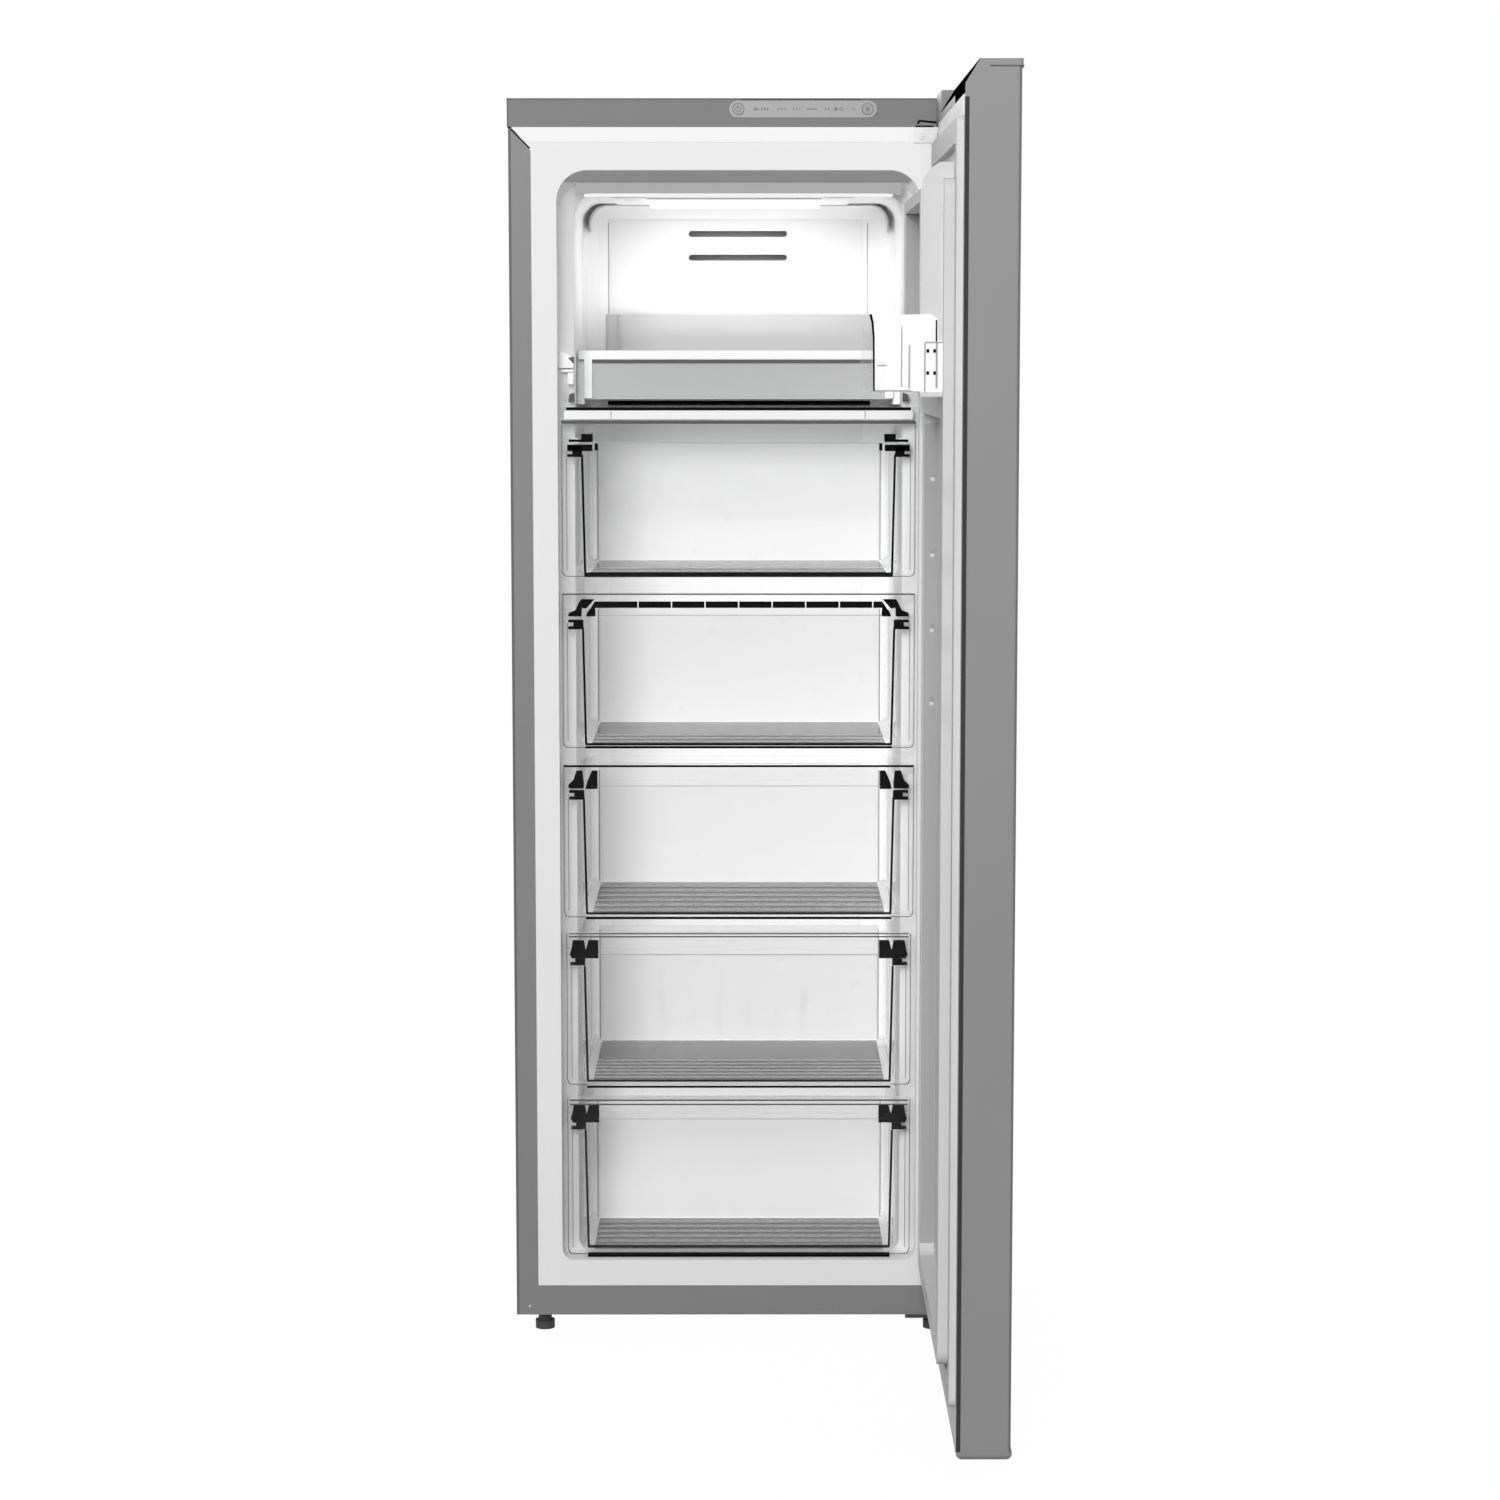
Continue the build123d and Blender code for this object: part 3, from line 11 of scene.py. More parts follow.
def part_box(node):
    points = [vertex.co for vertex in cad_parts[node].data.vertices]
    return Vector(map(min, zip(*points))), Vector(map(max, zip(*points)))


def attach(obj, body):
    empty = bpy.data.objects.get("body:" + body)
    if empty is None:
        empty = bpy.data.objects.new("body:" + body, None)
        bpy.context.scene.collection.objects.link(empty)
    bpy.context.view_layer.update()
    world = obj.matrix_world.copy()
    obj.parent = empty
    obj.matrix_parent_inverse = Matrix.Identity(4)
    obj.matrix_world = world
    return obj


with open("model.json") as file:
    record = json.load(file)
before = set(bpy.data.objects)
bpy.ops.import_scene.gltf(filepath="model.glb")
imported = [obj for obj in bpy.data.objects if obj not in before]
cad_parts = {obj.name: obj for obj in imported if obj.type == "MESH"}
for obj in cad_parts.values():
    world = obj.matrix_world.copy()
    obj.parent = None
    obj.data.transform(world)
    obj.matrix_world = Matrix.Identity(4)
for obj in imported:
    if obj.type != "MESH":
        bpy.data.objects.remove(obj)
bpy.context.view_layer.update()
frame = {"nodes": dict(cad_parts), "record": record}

MM = 0.001

# ---------------------------------------------------------------- camera
IMAGE_PIXELS = 1500
FOCAL_PIXELS = 3515.25
SENSOR_MM = 36.0
CAMERA_PLACE = (-0.00191, -4.55857, 1.31229)
CAMERA_DOWN_DEG = 6.473
CAMERA_RIGHT_DEG = 0.073

# ---------------------------------------------------------------- light
WORLD_STRENGTH = 0.33
KEY_PLACE, KEY_SIZE, KEY_POWER = (-1.1, -6.1, 3.0), 2.8, 300
BACK_PLACE, BACK_SIZE, BACK_POWER = (-2.4, 3.8, 2.6), 2.0, 110
SIDE_PLACE, SIDE_SIZE, SIDE_POWER = (3.6, 2.2, 2.4), 2.0, 50
AIM = (0.0, 0.0, 0.85)
FLOOR_TONE, FLOOR_HALF = 92, 40.0
FLOOR_GLOW, FLOOR_GLOW_SHARE = 1.22, 0.8
LAMP_GLOW = 0.5
CLEAR_LAYERS = 48

# ---------------------------------------------------------------- finish of every mesh
TEXTURE_LOW, TEXTURE_HIGH = 0.3, 0.7
BROAD_SCALE = 6.0
HAZE_SCALE = 60.0
SPANGLE_SCALE = 210.0
BEVEL_ANGLE_DEG, SHARP_ANGLE_DEG = 35, 32


def grey(value):
    """An sRGB grey of 0 to 255 as a linear value."""
    v = value / 255
    return v / 12.92 if v <= 0.04045 else ((v + 0.055) / 1.055) ** 2.4


def tone(red, green=None, blue=None):
    """An sRGB colour of 0 to 255 as linear RGBA."""
    green = red if green is None else green
    blue = red if blue is None else blue
    return (grey(red), grey(green), grey(blue), 1.0)


# ---------------------------------------------------------------- materials
def new_material(name):
    """A new material with its nodes, their links and its main shader."""
    mat = bpy.data.materials.new(name)
    mat.use_nodes = True
    nodes = mat.node_tree.nodes
    return mat, nodes, mat.node_tree.links, nodes["Principled BSDF"]


def object_noise(nodes, links, scale, detail=3.0, stretch=(1, 1, 1)):
    """A noise that stays fixed to the piece, finer with a larger scale."""
    place = nodes.new("ShaderNodeTexCoord")
    shape = nodes.new("ShaderNodeMapping")
    shape.inputs["Scale"].default_value = stretch
    noise = nodes.new("ShaderNodeTexNoise")
    noise.inputs["Scale"].default_value = scale
    noise.inputs["Detail"].default_value = detail
    links.new(place.outputs["Object"], shape.inputs["Vector"])
    links.new(shape.outputs["Vector"], noise.inputs["Vector"])
    return noise.outputs["Fac"]


def spread(nodes, links, source, low, high):
    """Maps a texture's middle range to the range from low to high."""
    ranged = nodes.new("ShaderNodeMapRange")
    ranged.inputs["From Min"].default_value = TEXTURE_LOW
    ranged.inputs["From Max"].default_value = TEXTURE_HIGH
    ranged.inputs["To Min"].default_value = low
    ranged.inputs["To Max"].default_value = high
    links.new(source, ranged.inputs["Value"])
    return ranged.outputs["Result"]


def finish(name, colour, rough, grain=400.0, bump=0.03, depth=0.05 * MM, metal=0.0,
           vary=0.04, rough_vary=0.05, stretch=(1, 1, 1), coat=0.0, specular=0.5):
    """A solid finish: a little colour and gloss variation, and a fine surface grain."""
    mat, nodes, links, shader = new_material(name)
    shader.inputs["Metallic"].default_value = metal
    shader.inputs["Coat Weight"].default_value = coat
    shader.inputs["Specular IOR Level"].default_value = specular
    broad = object_noise(nodes, links, BROAD_SCALE, 2.0)
    blend = nodes.new("ShaderNodeMix")
    blend.data_type = "RGBA"
    dark = [c * (1 - vary) for c in colour[:3]] + [1]
    light = [min(1, c * (1 + vary)) for c in colour[:3]] + [1]
    blend.inputs["A"].default_value = dark
    blend.inputs["B"].default_value = light
    links.new(spread(nodes, links, broad, 0, 1), blend.inputs["Factor"])
    links.new(blend.outputs["Result"], shader.inputs["Base Color"])
    fine = object_noise(nodes, links, grain, stretch=stretch)
    links.new(spread(nodes, links, fine, rough - rough_vary, rough + rough_vary),
              shader.inputs["Roughness"])
    relief = nodes.new("ShaderNodeBump")
    relief.inputs["Strength"].default_value = bump
    relief.inputs["Distance"].default_value = depth
    links.new(fine, relief.inputs["Height"])
    links.new(relief.outputs["Normal"], shader.inputs["Normal"])
    return mat


def clear(name, tint, haze, least=0.02, most=0.7, reach=0.4, rough=0.06):
    """Clear plastic or glass: see-through face on, brighter and glossier at a glancing angle."""
    mat, nodes, links, shader = new_material(name)
    shader.inputs["Base Color"].default_value = haze
    fine = object_noise(nodes, links, HAZE_SCALE, 2.0)
    links.new(spread(nodes, links, fine, rough * 0.6, rough * 1.4), shader.inputs["Roughness"])
    through = nodes.new("ShaderNodeBsdfTransparent")
    through.inputs["Color"].default_value = tint
    grazing = nodes.new("ShaderNodeLayerWeight")
    grazing.inputs["Blend"].default_value = reach
    ranged = nodes.new("ShaderNodeMapRange")
    ranged.inputs["To Min"].default_value = least
    ranged.inputs["To Max"].default_value = most
    links.new(grazing.outputs["Facing"], ranged.inputs["Value"])
    mix = nodes.new("ShaderNodeMixShader")
    links.new(ranged.outputs["Result"], mix.inputs["Fac"])
    links.new(through.outputs["BSDF"], mix.inputs[1])
    links.new(shader.outputs["BSDF"], mix.inputs[2])
    path = nodes.new("ShaderNodeLightPath")
    for_lamps = nodes.new("ShaderNodeBsdfTransparent")
    for_lamps.inputs["Color"].default_value = (1, 1, 1, 1)
    last = nodes.new("ShaderNodeMixShader")
    links.new(path.outputs["Is Shadow Ray"], last.inputs["Fac"])
    links.new(mix.outputs["Shader"], last.inputs[1])
    links.new(for_lamps.outputs["BSDF"], last.inputs[2])
    links.new(last.outputs["Shader"], nodes["Material Output"].inputs["Surface"])
    return mat


def galvanised():
    """Zinc-coated sheet with its spangle."""
    mat, nodes, links, shader = new_material("galvanised")
    shader.inputs["Metallic"].default_value = 0.7
    place = nodes.new("ShaderNodeTexCoord")
    cells = nodes.new("ShaderNodeTexVoronoi")
    cells.inputs["Scale"].default_value = SPANGLE_SCALE
    links.new(place.outputs["Object"], cells.inputs["Vector"])
    split = nodes.new("ShaderNodeSeparateColor")
    links.new(cells.outputs["Color"], split.inputs["Color"])
    blend = nodes.new("ShaderNodeMix")
    blend.data_type = "RGBA"
    blend.inputs["A"].default_value = tone(150, 152, 154)
    blend.inputs["B"].default_value = tone(162, 164, 166)
    links.new(split.outputs["Red"], blend.inputs["Factor"])
    links.new(blend.outputs["Result"], shader.inputs["Base Color"])
    ranged = nodes.new("ShaderNodeMapRange")
    ranged.inputs["To Min"].default_value = 0.44
    ranged.inputs["To Max"].default_value = 0.54
    links.new(split.outputs["Green"], ranged.inputs["Value"])
    links.new(ranged.outputs["Result"], shader.inputs["Roughness"])
    return mat


MATERIALS = {
    "casing_grey": finish("casing_grey", tone(134), 0.42, grain=500, bump=0.10, vary=0.02,
                          specular=0.25),
    "galvanised": galvanised(),
    "trim_grey": finish("trim_grey", tone(128), 0.50, grain=1600, bump=0.15, vary=0.02,
                        specular=0.2),
    "lining_white": finish("lining_white", tone(242), 0.38, grain=300, bump=0.05, vary=0.01,
                           specular=0.08),
    "foam": finish("foam", tone(226, 212, 168), 0.85, grain=260, bump=0.5, depth=0.4 * MM),
    "clear_plastic": clear("clear_plastic", (0.998, 0.998, 0.998, 1), tone(246), least=0.0,
                           reach=0.3),
    "shelf_glass": clear("shelf_glass", (0.95, 0.965, 0.96, 1), tone(214, 226, 222)),
    # Smoky see-through sheet: painted shade on the tubs' floors.
    "floor_shade_tint": clear("floor_shade_tint", (0.76, 0.76, 0.76, 1), tone(126), least=0.10, most=0.6),
    "frost": clear("frost", (0.96, 0.96, 0.96, 1), tone(244), least=0.78, most=0.9, rough=0.45),
    "bin_frost": clear("bin_frost", (0.98, 0.98, 0.98, 1), tone(252), least=0.55, most=0.85,
                       rough=0.3),
    "rib_clear": clear("rib_clear", (0.93, 0.93, 0.93, 1), tone(205), least=0.22, most=0.5,
                       rough=0.3),
    # A darker white: painted shade on faces in the door's and the opening's shadow.
    "painted_shade_white": finish("painted_shade_white", tone(176), 0.5, grain=400, bump=0.04, vary=0.01,
                          specular=0.08),
    "door_grey": finish("door_grey", tone(142), 0.42, grain=500, bump=0.10, vary=0.02,
                        specular=0.25),
    # Black: painted shade on the door cap's inner slope.
    "painted_shade_black": finish("painted_shade_black", tone(4), 0.9, specular=0.0),
    # Darker grey: painted shade along rounded edges of the casing and the door.
    "painted_edge_shade": finish("painted_edge_shade", tone(108), 0.5, grain=700, bump=0.05, vary=0.02,
                        specular=0.15),
    # Grey: painted shade under the opening's head.
    "painted_head_shade": finish("painted_head_shade", tone(140), 0.6, grain=700, bump=0.04, vary=0.02,
                        specular=0.06),
    "foot_grey": finish("foot_grey", tone(70), 0.6, grain=900, bump=0.2, specular=0.3),
    # Dark grey: dark joints on the back's top, and painted shade in the door's gap.
    "dark_seam_and_gap_shade": finish("dark_seam_and_gap_shade", tone(60), 0.6, grain=900, bump=0.02, specular=0.1),
    "lamp_lens": finish("lamp_lens", tone(250), 0.28, grain=500, bump=0.02, vary=0.0),
    # Also used for painted shade lines beside the duct cover, in the tubs' back corners and along
    # two tubs' rims.
    "panel_light": finish("panel_light", tone(162), 0.34, grain=900, bump=0.03, vary=0.01,
                          specular=0.3),
    "button_grey": finish("button_grey", tone(160), 0.42, grain=1200, bump=0.08, specular=0.3),
    "board_green": finish("board_green", tone(38, 92, 54), 0.4, grain=300, bump=0.2, vary=0.2),
    # Darker than lining_white: painted shade on the door's lining.
    "door_white": finish("door_white", tone(213), 0.42, grain=300, bump=0.05, vary=0.01,
                         specular=0.06),
    "seal_white": finish("seal_white", tone(214), 0.55, grain=700, bump=0.10, specular=0.08),
    "black_rubber": finish("black_rubber", tone(28), 0.72, grain=900, bump=0.3),
    "black_plastic": finish("black_plastic", tone(22), 0.45, grain=1300, bump=0.15),
    "nylon": finish("nylon", tone(222, 221, 214), 0.42, grain=700, bump=0.06),
    "copper": finish("copper", tone(196, 122, 84), 0.30, grain=120, bump=0.05, metal=1.0,
                     vary=0.15, rough_vary=0.12),
    "aluminium": finish("aluminium", tone(196, 197, 200), 0.34, grain=500, bump=0.05, metal=1.0,
                        stretch=(1, 1, 0.05)),
    "steel": finish("steel", tone(178, 180, 182), 0.30, grain=600, bump=0.06, metal=1.0,
                    rough_vary=0.08),
    "black_steel": finish("black_steel", tone(26), 0.34, grain=300, bump=0.10, coat=0.3),
    # Grey for printed signs, and for painted shadow lines in front of the tubs' floor ribs.
    "print_grey_and_rib_shade": finish("print_grey_and_rib_shade", tone(116), 0.5, grain=900, bump=0.02),
    # Black for the drawers' slide clips, the second drawer's band and the casing's mitre, and
    # painted shade along clear edges, in gaps and behind the shelf's glass.
    "black_and_painted_shade": finish("black_and_painted_shade", tone(3), 0.5, grain=900, bump=0.02, specular=0.04),
    # Darker than lining_white: painted shade on the tray, its ribs, the tubs' rim lines and the
    # chamber's crease.
    "tray_white_painted_shade": finish("tray_white_painted_shade", tone(186), 0.42, grain=300, bump=0.05, vary=0.01,
                         specular=0.08),
    "bright_white": finish("bright_white", tone(251), 0.4, grain=400, bump=0.03, vary=0.005,
                           specular=0.08),
    # Dark grey: painted shade in slots, recesses and folds, and along the drawers' edges.
    "painted_shade_grey": finish("painted_shade_grey", tone(96), 0.6, grain=900, bump=0.02, specular=0.1),
}

# Nodes that get another finish than their slot's: the door's skin and caps a lighter grey, the
# door's lining and the tray a darker white as painted shade, the hinge's bracket and screws white,
# and the front feet a dark grey.
OTHER_FINISH = {
    "door_skin": "door_grey",
    "door_top_cap": "door_grey",
    "door_bottom_cap": "door_grey",
    "door_lining": "door_white",
    "tray": "tray_white_painted_shade",
    "top_hinge_bracket": "lining_white",
    "hinge_screws": "lining_white",
    "front_left_foot": "foot_grey",
    "front_right_foot": "foot_grey",
}

lens_shader = MATERIALS["lamp_lens"].node_tree.nodes["Principled BSDF"]
lens_shader.inputs["Emission Color"].default_value = (1, 1, 1, 1)
lens_shader.inputs["Emission Strength"].default_value = LAMP_GLOW

for row in frame["record"]["subparts"]:
    node = frame["nodes"][row["node"]]
    node.data.materials.clear()
    node.data.materials.append(MATERIALS[OTHER_FINISH.get(row["node"], row["material_slot"])])


# ---------------------------------------------------------------- mesh helpers
def piece(name, mesh_maker, material, body, bevel=0.0, segments=2):
    """One mesh object, filled by mesh_maker, that rides on a body."""
    shape = bmesh.new()
    mesh_maker(shape)
    bmesh.ops.recalc_face_normals(shape, faces=shape.faces)
    mesh = bpy.data.meshes.new(name)
    shape.to_mesh(mesh)
    shape.free()
    mesh.materials.append(MATERIALS[material])
    obj = bpy.data.objects.new(name, mesh)
    bpy.context.scene.collection.objects.link(obj)
    if bevel:
        cut = obj.modifiers.new("edges", "BEVEL")
        cut.width = bevel
        cut.segments = segments
        cut.limit_method = "ANGLE"
        cut.angle_limit = math.radians(BEVEL_ANGLE_DEG)
        cut.harden_normals = False
    mesh.shade_smooth()
    mesh.set_sharp_from_angle(angle=math.radians(SHARP_ANGLE_DEG))
    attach(obj, body)


def add_box(shape, low, high):
    """A box between two opposite corners."""
    middle = (Vector(low) + Vector(high)) / 2
    size = Vector(high) - Vector(low)
    place = Matrix.Translation(middle) @ Matrix.Diagonal((*size, 1))
    bmesh.ops.create_cube(shape, size=1.0, matrix=place)


def add_prism(shape, points, axis, low, high):
    """Points in the plane across the axis x or y, drawn out from low to high along it."""
    def corner(p, along):
        return {"x": (along, p[0], p[1]), "y": (p[0], along, p[1])}[axis]
    start = [shape.verts.new(corner(p, low)) for p in points]
    end = [shape.verts.new(corner(p, high)) for p in points]
    shape.faces.new(start)
    shape.faces.new(end)
    for i in range(len(points)):
        j = (i + 1) % len(points)
        shape.faces.new((start[i], start[j], end[j], end[i]))


def round_rect(x0, x1, z0, z1, radius, steps=6):
    """Outline points of a rounded rectangle."""
    points = []
    for cx, cz, start in ((x1 - radius, z1 - radius, 0), (x0 + radius, z1 - radius, 90),
                          (x0 + radius, z0 + radius, 180), (x1 - radius, z0 + radius, 270)):
        for i in range(steps + 1):
            a = math.radians(start + 90 * i / steps)
            points.append((cx + radius * math.cos(a), cz + radius * math.sin(a)))
    return points


# ---------------------------------------------------------------- the cabinet's frame
MIDDLE_X = (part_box("left_side_panel")[0].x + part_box("right_side_panel")[1].x) / 2
FRONT_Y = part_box("left_side_panel")[0].y


def at(x, y, z):
    """Millimetres from the cabinet's middle, its front plane and the floor, as a place."""
    return Vector((MIDDLE_X + x * MM, FRONT_Y + y * MM, z * MM))


def block(shape, x0, x1, y0, y1, z0, z1):
    """A box of millimetres in the cabinet's frame, with its two x in either order."""
    add_box(shape, at(min(x0, x1), y0, z0), at(max(x0, x1), y1, z1))


def plate(shape, points, y0, y1):
    """A flat outline of x and z millimetres, drawn out from y0 to y1."""
    flat = [(at(x, 0, z).x, at(x, 0, z).z) for x, z in points]
    add_prism(shape, flat, "y", at(0, y0, 0).y, at(0, y1, 0).y)


def both_sides(draw):
    """Draws on the left, where side is -1, and on the right, where it is 1."""
    for side in (-1, 1):
        draw(side)


# ---------------------------------------------------------------- the drawers
DRAWERS = range(1, 6)
FACE_Y, FACE_BACK_Y = 14.1, 17.0
EDGE_BACK_Y = 15.0
BEHIND_FRONT, CLIP_BACK = 17.2, 26.0
LINE_FRONT, LINE_BACK = 19.5, 21.5
SIDE_LINE = 2.9
CLIP_OUT, CLIP_FOOT_OUT = 224.5, 217.7
LINE_TOP_X, LINE_FOOT_X, LINE_TOP_DROP = 206.6, 203.2, 45
LINER_FLOOR = 103.4
RIM_DROP = 29.6
BACK_HALF = 196.5
RIB_HALF, RIB_DEPTH, RIB_HEIGHT, RIB_START = 194.0, 3.4, 2.6, 8
WIDE_FRONTS = (1, 2, 3)


def drawer_heights(number):
    """The foot and top of a drawer's front, in millimetres."""
    low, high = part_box(f"drawer_{number}_front")
    return low.z / MM, high.z / MM


def drawer_clips(number):
    """The black slide clips at a tub's two upper front corners."""
    _, top = drawer_heights(number)

    def stepped(shape, side):
        def bar(x0, x1, z0, z1):
            block(shape, side * x0, side * x1, BEHIND_FRONT, CLIP_BACK, top - z0, top - z1)
        if number == 1:
            bar(206, 191, 27, 18)
            bar(222.5, 191.5, 28.4, 25.1)
            bar(CLIP_OUT, 191.8, 40.4, 32)
            bar(CLIP_FOOT_OUT, 205.2, 47.9, 33.7)
            bar(CLIP_OUT, CLIP_FOOT_OUT, 47.9, 44.4)
            bar(CLIP_OUT, CLIP_FOOT_OUT, 37.9, 33.7)
            bar(188.4, 184.4, 39.5, 30.4)
            return

        def sheet(points):
            plate(shape, [(side * x, top - z) for x, z in points], BEHIND_FRONT, CLIP_BACK)
        if number == 2:
            sheet([(207, 8.6), (190, 8.6), (200.5, 20.6), (206.6, 19.6), (207, 31),
                   (224.5, 31), (223.8, 26.5), (215, 23), (209.5, 11.5)])
            sheet([(189.5, 11.5), (188.4, 31), (201, 31), (199, 25), (195.5, 21)])
        elif number == 3:
            sheet([(215, 9.8), (206.8, 9.8), (205, 27), (205.4, 33), (224.5, 33), (226, 29),
                   (219, 22)])
            sheet([(194.5, 9.8), (187, 9.8), (187, 33.6), (203, 33.6), (200.5, 24)])
        else:
            sheet([(221, 10.9), (206.4, 10.9), (203.8, 24), (200.2, 10.9), (187, 10.9),
                   (187, 34.5), (222, 34.5), (225, 29), (222.5, 21)])
        foot = 47.9 if number in WIDE_FRONTS else 43.9
        bar(CLIP_FOOT_OUT, 204.6, foot, 35.6)
        bar(CLIP_OUT, CLIP_FOOT_OUT, foot, foot - 3.6)
        if number in WIDE_FRONTS:
            bar(CLIP_OUT, CLIP_FOOT_OUT, 38.8, 35.6)

    def make(shape):
        both_sides(lambda side: stepped(shape, side))
    piece(f"drawer_{number}_clips", make, "black_and_painted_shade", f"drawer_{number}", bevel=0.5 * MM)


def drawer_lines(number):
    """Painted shade along the tub front's edges, seen edge-on: down both sides and along its foot.
    """
    foot, top = drawer_heights(number)
    upper_foot = {1: (5.8, -0.4), 2: (6.2, 3.2), 3: (6.1, 3.4), 4: (5.9, 3.3), 5: (11.2, 7.6)}
    lower_foot = {2: (2.6, -0.4), 3: (0.6, -2.4), 4: (-1.5, -4.1), 5: (2.4, -5.8)}
    high, low = upper_foot[number]

    def make(shape):
        for side in (-1, 1):
            z_top, z_foot = top - LINE_TOP_DROP, foot + low
            outline = [(LINE_TOP_X, z_top), (LINE_TOP_X - SIDE_LINE, z_top),
                       (LINE_FOOT_X - SIDE_LINE, z_foot + 3), (LINE_FOOT_X, z_foot + 1)]
            plate(shape, [(side * x, z) for x, z in outline], LINE_FRONT, LINE_BACK)
        ends = LINE_FOOT_X - 0.6
        block(shape, -ends, ends, LINE_FRONT, LINE_BACK, foot + low, foot + high)
        if number in lower_foot:
            high_2, low_2 = lower_foot[number]
            block(shape, -ends, ends, 14.6, FACE_BACK_Y, max(foot + low_2, LINER_FLOOR),
                  foot + high_2)
    piece(f"drawer_{number}_lines", make, "black_and_painted_shade", f"drawer_{number}", bevel=0.4 * MM)


def drawer_ribs(number):
    """Ribs across the tub's floor, painted shadow lines in front of them, and a see-through grey
    sheet under them as painted shade on the floor.
    """
    low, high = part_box(f"drawer_{number}_tub")
    z = low.z / MM + 2.6
    y0 = (low.y - FRONT_Y) / MM + 6
    y1 = (high.y - FRONT_Y) / MM - 10
    ribs = {1: 2, 2: 3, 3: 6, 4: 6, 5: 6}[number]
    ribbed = {1: 0.45, 2: 0.45, 3: 0.95, 4: 0.5, 5: 0.95}[number]
    pitch = (y1 - y0) * ribbed / ribs

    def make(shape):
        for i in range(ribs):
            y = y0 + RIB_START + i * pitch
            block(shape, -RIB_HALF, RIB_HALF, y, y + RIB_DEPTH, z, z + RIB_HEIGHT)
    piece(f"drawer_{number}_ribs", make, "rib_clear", f"drawer_{number}", bevel=0.7 * MM)

    # Painted shadow lines on the floor in front of each rib.
    def feet(shape):
        for i in range(ribs):
            y = y0 + RIB_START + i * pitch
            block(shape, -RIB_HALF, RIB_HALF, y - 2.6, y - 0.6, z, z + 0.9)
    piece(f"drawer_{number}_rib_shadows", feet, "print_grey_and_rib_shade", f"drawer_{number}")

    # A see-through grey sheet: painted shade on the tub's floor.
    def sheet(shape):
        block(shape, -RIB_HALF, RIB_HALF, y0, y1, z, z + 0.5)
    piece(f"drawer_{number}_floor", sheet, "floor_shade_tint", f"drawer_{number}")


def drawer_back(number):
    """The tub's frosted back wall, painted shade in its two back corners and a painted shade line
    along its rim.
    """
    low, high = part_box(f"drawer_{number}_tub")
    _, top = drawer_heights(number)
    y = (high.y - FRONT_Y) / MM - 5
    z0, z1 = low.z / MM + 3.4, top - RIM_DROP

    def wall(shape):
        block(shape, -BACK_HALF, BACK_HALF, y, y + 1.2, z0, z1 - 6)
    piece(f"drawer_{number}_back", wall, "frost", f"drawer_{number}")

    # Painted shade in the tub's two back corners.
    def corners(shape):
        for side in (-1, 1):
            block(shape, side * (BACK_HALF - 1.0), side * (BACK_HALF + 0.6), y - 1.2, y - 0.2,
                  z0, z1 - 12)
    piece(f"drawer_{number}_corners", corners, "panel_light", f"drawer_{number}",
          bevel=0.3 * MM)

    # A painted shade line along the tub's rim.
    def rim(shape):
        block(shape, -BACK_HALF, BACK_HALF, BEHIND_FRONT, 17.9, z1 - 0.5, z1 + 0.5)
    rim_shade = {1: "panel_light", 4: "panel_light"}.get(number, "tray_white_painted_shade")
    piece(f"drawer_{number}_rim_shade_line", rim, rim_shade, f"drawer_{number}")


def front_edges(number):
    """Painted shade: a double dark edge down each side of a drawer's front, and along its rounded
    lower corners.
    """
    foot, top = drawer_heights(number)
    half = 231.8 if number in WIDE_FRONTS else 229.0

    def make(shape):
        for side in (-1, 1):
            block(shape, side * (half - 0.9), side * half, FACE_Y, EDGE_BACK_Y, foot + 7,
                  top - 1)
            block(shape, side * (half - 6.8), side * (half - 6.1), 16.2, FACE_BACK_Y,
                  foot + 9, top - 40)
            corner = [(half - 0.9, foot + 7), (half, foot + 7), (half - 1.6, foot + 2.6),
                      (half - 6, foot + 0.6), (half - 6, foot + 1.5), (half - 2.6, foot + 3.3)]
            plate(shape, [(side * x, z) for x, z in corner], FACE_Y, EDGE_BACK_Y)
            block(shape, side * (half - 6), side * 202, FACE_Y, EDGE_BACK_Y, foot + 0.6,
                  foot + 1.5)
    piece(f"drawer_{number}_side_edge_shade", make, "painted_shade_grey", f"drawer_{number}")


for drawer in DRAWERS:
    drawer_clips(drawer)
    drawer_lines(drawer)
    drawer_ribs(drawer)
    drawer_back(drawer)
    front_edges(drawer)


def drawer_top_edge(number):
    """Painted shade: dark lines along the upper edge of a drawer's front."""
    _, top = drawer_heights(number)
    edges = {
        1: [(0.4, 4.6, "painted_shade_grey")],
        2: [(0.6, 2.4, "painted_shade_grey")],
        3: [(1.6, 4.2, "black_and_painted_shade")],
        4: [(-0.2, 1.4, "painted_shade_grey"), (4.2, 5.8, "painted_shade_grey")],
        5: [(2.8, 4.6, "painted_shade_grey"), (8.6, 10.2, "painted_shade_grey")],
    }[number]
    half = 231.5 if number in WIDE_FRONTS else 226.0
    for i, (z0, z1, material) in enumerate(edges):
        def strip(shape):
            block(shape, -half, half, 14.2, 16.9, top - z1, top - max(z0, 0.2))
        piece(f"drawer_{number}_top_edge_{i + 1}", strip, material, f"drawer_{number}",
              bevel=0.4 * MM)


BAND_TOP, BAND_FOOT = 11.3, 19.7
BAND_HALF, BAND_TICK, BAND_PITCH = 189.0, 1.6, 44.15


